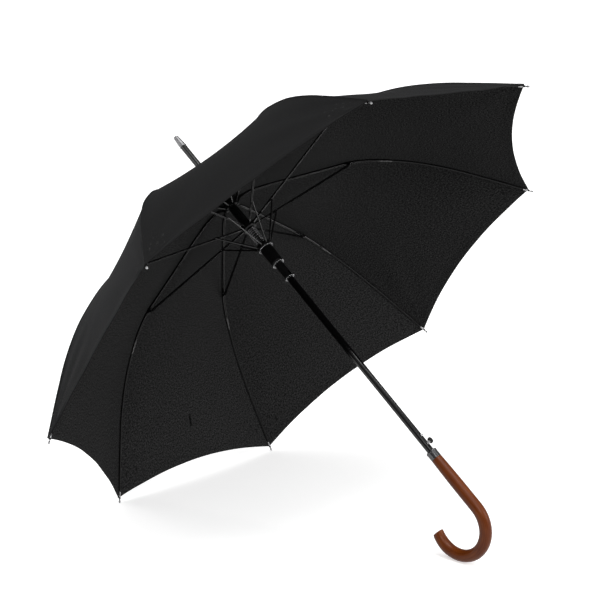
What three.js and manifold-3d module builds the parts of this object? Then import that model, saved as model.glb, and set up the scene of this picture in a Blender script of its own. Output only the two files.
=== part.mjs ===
// Stick umbrella with eight ribs, a floating stretcher notch and a short-strut runner.
// Everything is drawn first in the umbrella's own frame: the shaft lies on Z, the ferrule
// points to +Z, the crook curls towards +X. The whole frame is then laid down so that the
// umbrella rests on two rib tips and on the back of its crook. Millimetres, +Z up.
import * as THREE from 'three';
import * as BGU from 'three/addons/utils/BufferGeometryUtils.js';
import Module from 'manifold-3d';

const wasm = await Module();
wasm.setup();

// ---------------------------------------------------------------- driving dimensions
const RIBS = 8;
const FIRST_RIB_DEG = 22.5;           // rib 1 and rib 8 stand either side of the crook plane
const R_TIP = 510;                    // shaft axis to the fabric's corner at a rib end
const HINGE_R = 11;                   // radius of the rib and stretcher hinge wires
const CROWN_Z = 238;                  // height of the rib hinges
const MID_R = 248.4;                  // rib to stretcher joint
const MID_Z = 211.5;
const NOTCH_Z = 2 * MID_Z - CROWN_Z;  // stretcher hinges: the linkage is isosceles
const STRUT_AT = 55;                  // strut joint, measured along the stretcher from its inner hinge
const RUNNER_R = 12.3;                // radius of the runner's hinge wire
const RUNNER_Z = 137;
const STRUT_Y = 2.3;                  // struts lie beside their stretchers
const TUBE_R = 6.0;                   // shaft tube
const TUBE_BORE = 5.2;
const TUBE_TOP = 392.7;
const TUBE_END = -392;
const FERRULE_TOP = 419.7;
const SLIDE_BORE = 6.35;              // bore of everything that slides on the shaft
const COLLAR_TOP = -337.6;
const COLLAR_END = -352.4;
const HANDLE_TOP = -352.7;
const CROOK_Z = -454.5;               // where the straight part of the handle turns into the bend
const CROOK_R = 50;                   // bend radius of the handle's centre line
const CROOK_DEG = 202;
const HANDLE_R = 10.3;
const BUTTON_Z = -324.4;
const TOOTH_TOP = -302.4;
const TOOTH_END = -309.4;
const GAP = 0.3;

// rib centre line, radius and height, from the hinge to the end of the rod
const RIB_PATH = [
  [11, 238], [17, 243], [26, 248.6], [50, 250.6], [84.7, 246.5], [148, 234.5], [199, 224.8],
  [248.4, 215.3], [284.6, 203.5], [311, 190.5], [348.8, 167], [377.4, 144], [415.7, 106.5],
  [450.3, 67], [474.3, 39], [494.7, 15], [503, 5.2],
];
const CHANNEL_END = 9;                // index in RIB_PATH where the channel hands over to the rod

const mats = {
  blackTube: { color: 0x0c0c0d, roughness: 0.28, metalness: 0.55 },
  blackSteel: { color: 0x141415, roughness: 0.42, metalness: 0.6 },
  rod: { color: 0x101011, roughness: 0.5, metalness: 0.1 },
  steel: { color: 0xc9c9cb, roughness: 0.25, metalness: 1.0 },
  plastic: { color: 0x0b0b0c, roughness: 0.45, metalness: 0.0 },
  fabric: { color: 0x242424, roughness: 0.85, metalness: 0.0 },
  wood: { color: 0x7a431f, roughness: 0.3, metalness: 0.0 },
};
const material = (k) => new THREE.MeshStandardMaterial(mats[k]);

// ---------------------------------------------------------------- solid helpers
function closed(geometry) {
  const g = geometry.clone();
  g.deleteAttribute('normal');
  g.deleteAttribute('uv');
  const m = BGU.mergeVertices(g, 1e-4);
  return m;
}
function toSolid(geometry) {
  const m = closed(geometry);
  const p = Float32Array.from(m.attributes.position.array);
  const t = Uint32Array.from(m.index.array);
  return new wasm.Manifold(new wasm.Mesh({ numProp: 3, vertProperties: p, triVerts: t }));
}
function toGeometry(solid) {
  const m = solid.getMesh();
  const g = new THREE.BufferGeometry();
  const p = new Float32Array((m.vertProperties.length / m.numProp) * 3);
  for (let i = 0; i < p.length / 3; i++) {
    for (let k = 0; k < 3; k++) p[3 * i + k] = m.vertProperties[i * m.numProp + k];
  }
  g.setAttribute('position', new THREE.BufferAttribute(p, 3));
  g.setIndex(new THREE.BufferAttribute(Uint32Array.from(m.triVerts), 1));
  return g;
}
function volumeOf(p, t) {
  let v = 0;
  const a = new THREE.Vector3(), b = new THREE.Vector3(), c = new THREE.Vector3();
  for (let i = 0; i < t.length; i += 3) {
    a.fromArray(p, 3 * t[i]); b.fromArray(p, 3 * t[i + 1]); c.fromArray(p, 3 * t[i + 2]);
    v += a.dot(b.cross(c)) / 6;
  }
  return v;
}
function faces(points, tris) {
  const p = points.flatMap((v) => [v.x, v.y, v.z]);
  if (volumeOf(p, tris) < 0) for (let i = 0; i < tris.length; i += 3) [tris[i], tris[i + 1]] = [tris[i + 1], tris[i]];
  const g = new THREE.BufferGeometry();
  g.setAttribute('position', new THREE.Float32BufferAttribute(p, 3));
  g.setIndex(tris);
  return g;
}
// closed loft through rings of equal count, flat ends
function loft(rings) {
  const n = rings[0].length;
  const pts = rings.flat();
  const tris = [];
  for (let i = 0; i + 1 < rings.length; i++) {
    for (let j = 0; j < n; j++) {
      const a = i * n + j, b = i * n + ((j + 1) % n), c = a + n, d = b + n;
      tris.push(a, b, d, a, d, c);
    }
  }
  const last = (rings.length - 1) * n;
  for (let j = 1; j + 1 < n; j++) tris.push(0, j + 1, j, last, last + j, last + j + 1);
  return faces(pts, tris);
}
// bar in the XZ plane through [x, z] points, each with a width (Y) and a height
function bar(path, sizes, y = 0, chamfer = 0.28) {
  const rings = path.map(([x, z], i) => {
    const a = path[Math.max(i - 1, 0)], b = path[Math.min(i + 1, path.length - 1)];
    const t = new THREE.Vector2(b[0] - a[0], b[1] - a[1]).normalize();
    const nx = -t.y, nz = t.x;
    const [w, h] = sizes[i];
    const c = Math.min(w, h) * chamfer;
    const oct = [
      [w / 2, h / 2 - c], [w / 2 - c, h / 2], [-w / 2 + c, h / 2], [-w / 2, h / 2 - c],
      [-w / 2, -h / 2 + c], [-w / 2 + c, -h / 2], [w / 2 - c, -h / 2], [w / 2, -h / 2 + c],
    ];
    return oct.map(([v, u]) => new THREE.Vector3(x + nx * u, y + v, z + nz * u));
  });
  return loft(rings);
}
function lathe(profile, segments = 20) {
  const g = new THREE.LatheGeometry(profile.map(([r, z]) => new THREE.Vector2(r, z)), segments);
  g.rotateX(Math.PI / 2);
  return g;
}
const ring = (r0, r1, z0, z1, seg = 20) => lathe([[r0, z0], [r1, z0], [r1, z1], [r0, z1], [r0, z0]], seg);
const torus = (r, wire, z, seg = 20) => new THREE.TorusGeometry(r, wire, 5, seg).translate(0, 0, z);
const box = (x0, x1, y0, y1, z0, z1) => new THREE.BoxGeometry(x1 - x0, y1 - y0, z1 - z0)
  .translate((x0 + x1) / 2, (y0 + y1) / 2, (z0 + z1) / 2);
// cylinder along Y through the point x, z
const crossPin = (x, z, r, y0, y1, seg = 8) => new THREE.CylinderGeometry(r, r, y1 - y0, seg)
  .translate(x, (y0 + y1) / 2, z);

const umbrella = new THREE.Group();
function add(parent, name, geometry, kind) {
  const m = new THREE.Mesh(geometry, material(kind));
  m.geometry.computeVertexNormals();
  m.name = name;
  parent.add(m);
  return m;
}

// ---------------------------------------------------------------- shaft and ferrule
{
  let tube = toSolid(ring(TUBE_BORE, TUBE_R, TUBE_END, TUBE_TOP));
  tube = tube.subtract(toSolid(box(-7, -3, -1.6, 1.6, TOOTH_END - 1.2, TOOTH_TOP + 1.6)));
  tube = tube.subtract(toSolid(box(-7, -3, -2.6, 2.6, BUTTON_Z - 2.9, BUTTON_Z + 2.9)));
  add(umbrella, 'shaft_tube', toGeometry(tube), 'blackTube');
}
add(umbrella, 'ferrule_tip', lathe([[0, TUBE_TOP + GAP], [6.3, TUBE_TOP + GAP], [6.3, TUBE_TOP + 4],
  [5.6, TUBE_TOP + 5], [4.6, FERRULE_TOP - 1.5], [3.6, FERRULE_TOP], [0, FERRULE_TOP]]), 'steel');
add(umbrella, 'top_cap', lathe([[SLIDE_BORE - 0.1, 256.6], [17, 256.6], [17.4, 258], [13, 261.6],
  [9.4, 263.5], [8.6, 268], [SLIDE_BORE - 0.1, 268], [SLIDE_BORE - 0.1, 256.6]]), 'plastic');

// ---------------------------------------------------------------- slotted notches
function slotted(profile, z, wireR, slotHalf, slotY, slotIn, slotLow, slotHigh, outer) {
  let s = toSolid(lathe(profile));
  s = s.subtract(toSolid(ring(wireR - 0.95, wireR + 0.95, z - 0.95, z + 0.95)));
  for (let i = 0; i < RIBS; i++) {
    const cut = box(slotIn, outer, slotY - slotHalf, slotY + slotHalf, slotLow, slotHigh);
    cut.rotateZ(THREE.MathUtils.degToRad(FIRST_RIB_DEG + 45 * i));
    s = s.subtract(toSolid(cut));
  }
  return s;
}
{
  const z = CROWN_Z;
  add(umbrella, 'top_notch', toGeometry(slotted([[6.05 + 0.25, z - 5], [14, z - 5], [14, z + 5],
    [10.5, z + 8.5], [6.3, z + 8.5], [6.3, z - 5]], z, HINGE_R, 1.5, 0, 8.4, z - 9, z + 12, 20)), 'plastic');
  add(umbrella, 'top_notch_wire', torus(HINGE_R, 0.6, z), 'steel');
}
add(umbrella, 'stop_sleeve', ring(6.3, 8.3, NOTCH_Z + 7, CROWN_Z - 5.4), 'plastic');
{
  const z = NOTCH_Z;
  add(umbrella, 'stretcher_notch', toGeometry(slotted([[SLIDE_BORE, z - 6.5], [12, z - 6.5], [13.5, z - 5],
    [13.5, z + 5], [12, z + 6.5], [SLIDE_BORE, z + 6.5], [SLIDE_BORE, z - 6.5]],
    z, HINGE_R, 1.5, 0, 8.4, z - 2.7, z + 9, 20)), 'plastic');
  add(umbrella, 'stretcher_notch_wire', torus(HINGE_R, 0.6, z), 'steel');
}

// ---------------------------------------------------------------- main spring
{
  const top = NOTCH_Z - 6.8, end = RUNNER_Z + 4.1, turns = 6;
  class Coil extends THREE.Curve {
    getPoint(t, target = new THREE.Vector3()) {
      const a = t * turns * 2 * Math.PI;
      return target.set(7.75 * Math.cos(a), 7.75 * Math.sin(a), end + 1 + (top - end - 2) * t);
    }
  }
  const coil = new Coil();
  const rings = [];
  const steps = turns * 10;
  for (let i = 0; i <= steps; i++) {
    const t = i / steps, p = coil.getPoint(t), a = t * turns * 2 * Math.PI;
    const radial = new THREE.Vector3(Math.cos(a), Math.sin(a), 0);
    const up = new THREE.Vector3(0, 0, 1);
    rings.push([[1, 0], [0, 1], [-1, 0], [0, -1]].map(([u, v]) => p.clone()
      .addScaledVector(radial, 0.75 * u).addScaledVector(up, 0.75 * v)));
  }
  add(umbrella, 'main_spring', loft(rings), 'blackSteel');
}

// ---------------------------------------------------------------- runner
{
  const z = RUNNER_Z;
  let body = slotted([[SLIDE_BORE, z - 80.2 + 3.6], [7.7, z - 80.2 + 3.6], [7.7, 94.6], [10.2, 94.6], [11, 98],
    [11.7, 126], [11.7, z - 4.2], [13.9, z - 3.8], [13.9, z + 2.4], [12.6, z + 3.8], [SLIDE_BORE, z + 3.8],
    [SLIDE_BORE, z - 80.2 + 3.6]], z, RUNNER_R, 1.2, STRUT_Y, 8.6, z - 2.7, z + 9, 20);
  // window in the neck that drops over the catch's tooth when the umbrella is closed
  const close = closedRunnerShift();
  body = body.subtract(toSolid(box(-12, -3, -2.1, 2.1, TOOTH_END - 0.9 - close, TOOTH_TOP + 3 - close)));
  add(umbrella, 'runner_body', toGeometry(body), 'plastic');
  add(umbrella, 'runner_wire', torus(RUNNER_R, 0.55, z), 'steel');
  add(umbrella, 'runner_top_ring', ring(12.0, 13.7, z - 7.4, z - 4.5), 'steel');
  add(umbrella, 'runner_middle_ring', ring(8.0, 11.2, 91.8, 94.3), 'steel');
  add(umbrella, 'runner_end_ring', ring(SLIDE_BORE, 8.9, z - 80.2 + 0.9, z - 80.2 + 3.3), 'steel');
}
function foldGeometry() {
  const m = Math.hypot(MID_R - HINGE_R, CROWN_Z - MID_Z);
  const phi0 = Math.atan2(CROWN_Z - MID_Z, MID_R - HINGE_R);
  const tip = [514.3 - HINGE_R, CROWN_Z + 9];
  const tipLen = Math.hypot(...tip), tipDown = Math.atan2(tip[1], tip[0]);
  const fold = Math.PI / 2 - Math.asin((13.5 - HINGE_R) / tipLen) - tipDown;
  const phi1 = phi0 + fold;
  const s = [HINGE_R + STRUT_AT * Math.cos(phi0), NOTCH_Z + STRUT_AT * Math.sin(phi0)];
  const b = Math.hypot(s[0] - RUNNER_R, s[1] - RUNNER_Z);
  const n1 = CROWN_Z - 2 * m * Math.sin(phi1);
  const s1 = [HINGE_R + STRUT_AT * Math.cos(phi1), n1 + STRUT_AT * Math.sin(phi1)];
  const p1 = s1[1] - Math.sqrt(b * b - (s1[0] - RUNNER_R) ** 2);
  const strut0 = Math.atan2(s[1] - RUNNER_Z, s[0] - RUNNER_R);
  const strut1 = Math.atan2(s1[1] - p1, s1[0] - RUNNER_R);
  return { m, phi0, phi1, fold, b, n1, p1, strut0, strut1, s };
}
function closedRunnerShift() { return foldGeometry().p1 - RUNNER_Z; }

// ---------------------------------------------------------------- catch and release button
{
  // bent spring strip inside the tube, its tooth stands out through the slot
  const strip = new THREE.Shape();
  const zt = TOOTH_TOP, ze = TOOTH_END;
  [[-2.0, -346], [-2.0, -318], [-3.6, ze], [-8.8, ze], [-8.8, ze + 1.6], [-4.4, zt], [-2.7, zt + 6],
    [-1.9, zt + 6], [-3.2, zt - 1], [-1.2, -318], [-1.2, -346]].forEach(([x, z], i) => (i ? strip.lineTo(x, z) : strip.moveTo(x, z)));
  strip.closePath();
  const g = new THREE.ExtrudeGeometry(strip, { depth: 2.4, bevelEnabled: false });
  g.rotateX(Math.PI / 2);
  g.translate(0, 1.2, 0);
  add(umbrella, 'catch_spring', toGeometry(toSolid(g)), 'steel');
}
{
  const z = BUTTON_Z;
  let b = toSolid(box(-12.4, -3.0, -2.2, 2.2, z - 2.5, z + 2.5));
  const cap = new THREE.CylinderGeometry(3.0, 3.3, 3.2, 16).rotateZ(Math.PI / 2).translate(-13.9, 0, z);
  b = b.add(toSolid(cap));
  b = b.add(toSolid(box(-4.4, -3.0, -2.2, 2.2, z - 3.4, z + 3.4)));
  add(umbrella, 'release_button', toGeometry(b), 'steel');
}

// ---------------------------------------------------------------- collar and crook handle
add(umbrella, 'handle_collar', lathe([[6.3, COLLAR_END], [9.3, COLLAR_END], [9.3, -341], [9.7, -340.4],
  [9.7, -338.4], [9.1, COLLAR_TOP], [6.3, COLLAR_TOP], [6.3, COLLAR_END]]), 'blackTube');
{
  const rings = [];
  const seg = 12;
  const put = (x, z, tx, tz, r) => {
    const nx = -tz, nz = tx;
    rings.push([...Array(seg).keys()].map((k) => {
      const a = (k / seg) * 2 * Math.PI;
      return new THREE.Vector3(x + nx * r * Math.cos(a), r * Math.sin(a), z + nz * r * Math.cos(a));
    }));
  };
  for (const [z, r] of [[HANDLE_TOP, 9.2], [-372, 9.7], [-400, 10.2], [-430, HANDLE_R]]) put(0, z, 0, -1, r);
  const n = 14, last = THREE.MathUtils.degToRad(CROOK_DEG);
  for (let i = 0; i <= n; i++) {
    const a = (last * i) / n;
    put(CROOK_R * (1 - Math.cos(a)), CROOK_Z - CROOK_R * Math.sin(a), Math.sin(a), -Math.cos(a), i > n - 3 ? HANDLE_R - 0.35 * (i - n + 3) : HANDLE_R);
  }
  const a = last, e = 1.6;
  put(CROOK_R * (1 - Math.cos(a)) + e * Math.sin(a), CROOK_Z - CROOK_R * Math.sin(a) - e * Math.cos(a), Math.sin(a), -Math.cos(a), HANDLE_R - 2.6);
  let handle = toSolid(loft(rings));
  const bore = new THREE.CylinderGeometry(6.3, 6.3, 42, 24).rotateX(Math.PI / 2).translate(0, 0, HANDLE_TOP - 20);
  handle = handle.subtract(toSolid(bore));
  add(umbrella, 'handle_crook', toGeometry(handle), 'wood');
}

// ---------------------------------------------------------------- ribs, tips, stretchers, struts
const fold = foldGeometry();
const dir = (a, b) => { const l = Math.hypot(b[0] - a[0], b[1] - a[1]); return [(b[0] - a[0]) / l, (b[1] - a[1]) / l]; };
const along = (p, d, s) => [p[0] + d[0] * s, p[1] + d[1] * s];

function ribGeometry() {
  const sizes = RIB_PATH.map(([r], i) => (i < 2 ? [1.8, 3.6] : i < 3 ? [2.4, 3.6] : i <= CHANNEL_END ? [3.2, 3.8] : [2.8, 2.8]));
  const path = RIB_PATH.map((p) => p.slice());
  const d = dir(path[1], path[0]);
  path.unshift(along(path[0], d, 1.9));
  sizes.unshift([1.8, 3.0]);
  let rib = toSolid(bar(path, sizes));
  rib = rib.subtract(toSolid(crossPin(HINGE_R, CROWN_Z, 1.05, -3, 3)));
  // lug under the channel for the stretcher
  const lug = new THREE.CylinderGeometry(2.0, 2.0, 1.4, 8).translate(MID_R, 0, MID_Z);
  rib = rib.add(toSolid(lug)).add(toSolid(box(MID_R - 2.0, MID_R + 2.0, -0.7, 0.7, MID_Z, MID_Z + 3.4)));
  return rib.subtract(toSolid(crossPin(MID_R, MID_Z, 1.1, -3, 3)));
}
function stretcherGeometry() {
  const n = [HINGE_R, NOTCH_Z], mPoint = [MID_R, MID_Z], d = dir(n, mPoint);
  const len = Math.hypot(mPoint[0] - n[0], mPoint[1] - n[1]);
  const path = [-1.9, 0, 5, 9, 50, 60, len - 12].map((s) => along(n, d, s));
  const sizes = [[1.8, 3.0], [1.8, 3.6], [1.8, 3.0], [2.6, 3.0], [2.6, 3.4], [2.6, 3.4], [2.6, 3.0]];
  let s = toSolid(bar(path, sizes));
  s = s.subtract(toSolid(crossPin(n[0], n[1], 1.05, -3, 3)));
  // fork round the rib's lug, with its rivet
  s = s.add(toSolid(bar([along(n, d, len - 14), along(n, d, len - 4.2)], [[3.9, 3.2], [3.9, 3.2]])));
  for (const y of [-1.5, 1.5]) {
    s = s.add(toSolid(bar([along(n, d, len - 6), along(n, d, len), along(n, d, len + 1.5)], [[0.9, 3.2], [0.9, 3.2], [0.9, 1.8]], y, 0.2)));
  }
  s = s.add(toSolid(crossPin(mPoint[0], mPoint[1], 0.75, -1.6, 1.6, 8)));
  const q = along(n, d, STRUT_AT);
  return s.subtract(toSolid(crossPin(q[0], q[1], 1.1, -3, 3)));
}
function strutGeometry() {
  const q = fold.s, p = [RUNNER_R, RUNNER_Z], d = dir(p, q);
  const len = Math.hypot(q[0] - p[0], q[1] - p[1]);
  const path = [-1.9, 0, 6, len - 4, len, len + 1.9].map((s) => along(p, d, s));
  const sizes = [[1.4, 2.8], [1.4, 3.8], [1.4, 2.8], [1.4, 2.8], [1.4, 3.6], [1.4, 2.4]];
  let s = toSolid(bar(path, sizes, STRUT_Y));
  s = s.subtract(toSolid(crossPin(p[0], p[1], 1.05, 0, 5)));
  // the eye is an open hook: its mouth lies along the way the wire moves in it as the umbrella folds
  const w = [-0.84 * d[0] - 0.54 * d[1], -0.84 * d[1] + 0.54 * d[0]];
  s = s.subtract(toSolid(bar([p, along(p, w, 7)], [[5, 2.1], [5, 2.1]], STRUT_Y, 0.01)));
  return s.add(toSolid(crossPin(q[0], q[1], 0.75, -1.5, STRUT_Y, 8)));
}
const ribSolid = toGeometry(ribGeometry());
const stretcherSolid = toGeometry(stretcherGeometry());
const strutSolid = toGeometry(strutGeometry());
for (let k = 0; k < RIBS; k++) {
  const g = new THREE.Group();
  g.rotation.z = THREE.MathUtils.degToRad(FIRST_RIB_DEG + 45 * k);
  umbrella.add(g);
  add(g, `rib_${k + 1}`, ribSolid.clone(), 'blackSteel');
  const a = RIB_PATH[RIB_PATH.length - 2], b = RIB_PATH[RIB_PATH.length - 1], d = dir(a, b);
  const tip = add(g, `rib_tip_${k + 1}`, lathe([[0, 0], [1.7, 0], [1.7, 6.5], [1.2, 8], [1.2, 15.5], [1.9, 17.2], [1.6, 19.2], [0, 19.9]], 10), 'steel');
  const at = along(b, d, GAP);
  tip.position.set(at[0], 0, at[1]);
  tip.rotation.y = Math.PI / 2 - Math.atan2(d[1], d[0]);
  add(g, `stretcher_${k + 1}`, stretcherSolid.clone(), 'blackSteel');
  add(g, `strut_${k + 1}`, strutSolid.clone(), 'blackSteel');
}

// ---------------------------------------------------------------- canopy, one panel between each two ribs
const curve = new THREE.CatmullRomCurve3(RIB_PATH.slice(2).map(([r, z]) => new THREE.Vector3(r, 0, z)), false, 'centripetal');
const lookup = curve.getPoints(400);
const ribZ = (r) => {
  if (r <= lookup[0].x) return lookup[0].z + (r - lookup[0].x) * 0.06;
  const last = lookup[lookup.length - 1];
  if (r >= last.x) return last.z + (r - last.x) * (-1.18);
  let i = 1;
  while (lookup[i].x < r) i++;
  const f = (r - lookup[i - 1].x) / (lookup[i].x - lookup[i - 1].x);
  return lookup[i - 1].z + f * (lookup[i].z - lookup[i - 1].z);
};
const HEM_SCOOP = 0.039;
const PANEL_SAG = 9;
// point of the canopy surface, in the frame of the panel's middle; s 0..1 from crown to hem, u -1..1 across
function canopyPoint(s, u, lift) {
  const half = Math.PI / 8;
  const r0 = 18 + (R_TIP - 18) * s;
  const r = r0 * (1 - HEM_SCOOP * (1 - u * u) * s * s);
  const e = 2;
  const slope = (ribZ(r + e) - ribZ(r - e)) / (2 * e);
  const nl = Math.hypot(slope, 1);
  const rr = r - (slope / nl) * lift, zz = ribZ(r) + lift / nl;
  const gap = 0.6;
  const y = u * (rr * Math.sin(half) - gap);
  return new THREE.Vector3(rr * Math.cos(half), y, zz - PANEL_SAG * (1 - u * u) * Math.sin(Math.PI * Math.min(s * 1.02, 1)));
}
function panelGeometry() {
  const ns = 13, nu = 4;
  const pts = [], tris = [];
  for (const lift of [2.7, 3.9]) {
    for (let i = 0; i <= ns; i++) for (let j = 0; j <= nu; j++) pts.push(canopyPoint(i / ns, -1 + (2 * j) / nu, lift));
  }
  const id = (l, i, j) => l * (ns + 1) * (nu + 1) + i * (nu + 1) + j;
  for (let i = 0; i < ns; i++) {
    for (let j = 0; j < nu; j++) {
      tris.push(id(1, i, j), id(1, i + 1, j), id(1, i + 1, j + 1), id(1, i, j), id(1, i + 1, j + 1), id(1, i, j + 1));
      tris.push(id(0, i, j), id(0, i + 1, j + 1), id(0, i + 1, j), id(0, i, j), id(0, i, j + 1), id(0, i + 1, j + 1));
    }
  }
  const side = (a, b, c, d) => tris.push(a, b, c, a, c, d);
  for (let i = 0; i < ns; i++) {
    side(id(0, i, 0), id(0, i + 1, 0), id(1, i + 1, 0), id(1, i, 0));
    side(id(1, i, nu), id(1, i + 1, nu), id(0, i + 1, nu), id(0, i, nu));
  }
  for (let j = 0; j < nu; j++) {
    side(id(1, 0, j), id(1, 0, j + 1), id(0, 0, j + 1), id(0, 0, j));
    side(id(0, ns, j), id(0, ns, j + 1), id(1, ns, j + 1), id(1, ns, j));
  }
  return toGeometry(toSolid(faces(pts, tris)));
}
const panel = panelGeometry();
for (let k = 0; k < RIBS; k++) {
  const m = add(umbrella, `canopy_panel_${k + 1}`, panel.clone(), 'fabric');
  m.rotation.z = THREE.MathUtils.degToRad(FIRST_RIB_DEG + 22.5 + 45 * k);
}

// ---------------------------------------------------------------- tie strap on the outside of panel 8
{
  const rings = [];
  const s0 = 0.60, s1 = 0.86, n = 8;
  for (let i = 0; i <= n; i++) {
    const s = s0 + ((s1 - s0) * i) / n;
    const p = canopyPoint(s, 0, 5.0), q = canopyPoint(s, 0, 6.0);
    rings.push([new THREE.Vector3(p.x, -9, p.z), new THREE.Vector3(p.x, 9, p.z), new THREE.Vector3(q.x, 9, q.z), new THREE.Vector3(q.x, -9, q.z)]);
  }
  add(umbrella, 'tie_strap', loft(rings), 'fabric');
  const c = canopyPoint(0.83, 0, 6.3), c2 = canopyPoint(0.83, 0, 8.1);
  const axis = c2.clone().sub(c);
  const snap = new THREE.CylinderGeometry(4.2, 5.2, axis.length(), 16);
  const m = add(umbrella, 'strap_snap', snap, 'blackSteel');
  m.quaternion.setFromUnitVectors(new THREE.Vector3(0, 1, 0), axis.clone().normalize());
  m.position.copy(c.clone().add(c2).multiplyScalar(0.5));
}

// ---------------------------------------------------------------- lay the umbrella down
// The floor touches the tip balls of ribs 1 and 8 and the back of the crook.
const tipEnd = along(RIB_PATH[RIB_PATH.length - 1], dir(RIB_PATH[RIB_PATH.length - 2], RIB_PATH[RIB_PATH.length - 1]), GAP + 17.2);
const T = [tipEnd[0] * Math.cos(Math.PI / 8), tipEnd[1]];
const C = [CROOK_R, CROOK_Z];
const D = [C[0] - T[0], C[1] - T[1]];
const between = Math.acos((HANDLE_R + CROOK_R - 1.9) / Math.hypot(...D));
const up = Math.atan2(D[1], D[0]) + 2 * Math.PI - between;
umbrella.rotation.y = Math.atan2(-Math.cos(up), Math.sin(up));
const group = new THREE.Group();
group.add(umbrella);
group.updateMatrixWorld(true);
const bounds = new THREE.Box3().setFromObject(group, true);
umbrella.position.set(-(bounds.min.x + bounds.max.x) / 2, -(bounds.min.y + bounds.max.y) / 2, -bounds.min.z);
group.updateMatrixWorld(true);

export default group;
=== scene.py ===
import bpy, bmesh, math
import numpy as np
from mathutils import Matrix, Vector


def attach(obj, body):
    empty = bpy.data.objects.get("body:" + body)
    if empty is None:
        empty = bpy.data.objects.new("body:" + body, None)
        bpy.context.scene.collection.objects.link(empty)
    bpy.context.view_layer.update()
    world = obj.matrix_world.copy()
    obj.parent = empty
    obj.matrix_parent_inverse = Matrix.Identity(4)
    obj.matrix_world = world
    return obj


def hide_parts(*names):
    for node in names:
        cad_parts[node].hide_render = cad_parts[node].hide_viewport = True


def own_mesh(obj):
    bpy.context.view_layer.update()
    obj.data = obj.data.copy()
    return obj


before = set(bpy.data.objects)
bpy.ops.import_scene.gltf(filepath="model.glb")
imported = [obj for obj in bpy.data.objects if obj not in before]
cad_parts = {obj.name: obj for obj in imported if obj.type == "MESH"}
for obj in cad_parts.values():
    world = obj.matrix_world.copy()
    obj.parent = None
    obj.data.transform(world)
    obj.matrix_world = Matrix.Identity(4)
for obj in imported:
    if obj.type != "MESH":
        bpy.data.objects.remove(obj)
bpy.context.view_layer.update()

RNG = np.random.default_rng(7)

# ------------------------------------------------------------------ the umbrella's own frame
# shaft on z, ferrule to +z, crook towards +x, millimetres; rib k at azimuth 22.5 + 45 (k - 1) degrees
RX, RZ = (0.618013, -0.786168), (0.786168, 0.618013)
SHIFT = (26.135784, 381.136053)
R_TIP, HALF = 510.0, math.pi / 8
RIB_PATH = [(11, 238), (17, 243), (26, 248.6), (50, 250.6), (84.7, 246.5), (148, 234.5), (199, 224.8),
            (248.4, 215.3), (284.6, 203.5), (311, 190.5), (348.8, 167), (377.4, 144), (415.7, 106.5),
            (450.3, 67), (474.3, 39), (494.7, 15), (503, 5.2)]
HINGE_R, CROWN_Z, MID_R, MID_Z, NOTCH_Z = 11.0, 238.0, 248.4, 211.5, 185.0
RUNNER_R, RUNNER_Z, STRUT_AT, STRUT_Y = 12.3, 137.0, 55.0, 2.3
COLLAR_TOP, COLLAR_END, HANDLE_TOP = -337.6, -352.4, -352.7
CROOK_Z, CROOK_R, CROOK_DEG, HANDLE_R = -454.5, 50.0, 202.0, 10.3
BUTTON_Z, TOOTH_TOP, TOOTH_END = -324.4, -302.4, -309.4


def row(p):
    """umbrella frame, mm -> row frame, metres"""
    p = np.asarray(p, float)
    x = RX[0] * p[..., 0] + RZ[0] * p[..., 2] + SHIFT[0]
    z = RX[1] * p[..., 0] + RZ[1] * p[..., 2] + SHIFT[1]
    return np.stack([x, p[..., 1], z], axis=-1) / 1000.0


def row_dir(d):
    d = np.asarray(d, float)
    return (RX[0] * d[0] + RZ[0] * d[2], d[1], RX[1] * d[0] + RZ[1] * d[2])


def azimuth(k):
    return math.radians(22.5 + 45 * (k - 1))


def turn(p, a):
    """turn about the shaft"""
    p = np.asarray(p, float)
    c, s = math.cos(a), math.sin(a)
    return np.stack([p[..., 0] * c - p[..., 1] * s, p[..., 0] * s + p[..., 1] * c, p[..., 2]], axis=-1)


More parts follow.
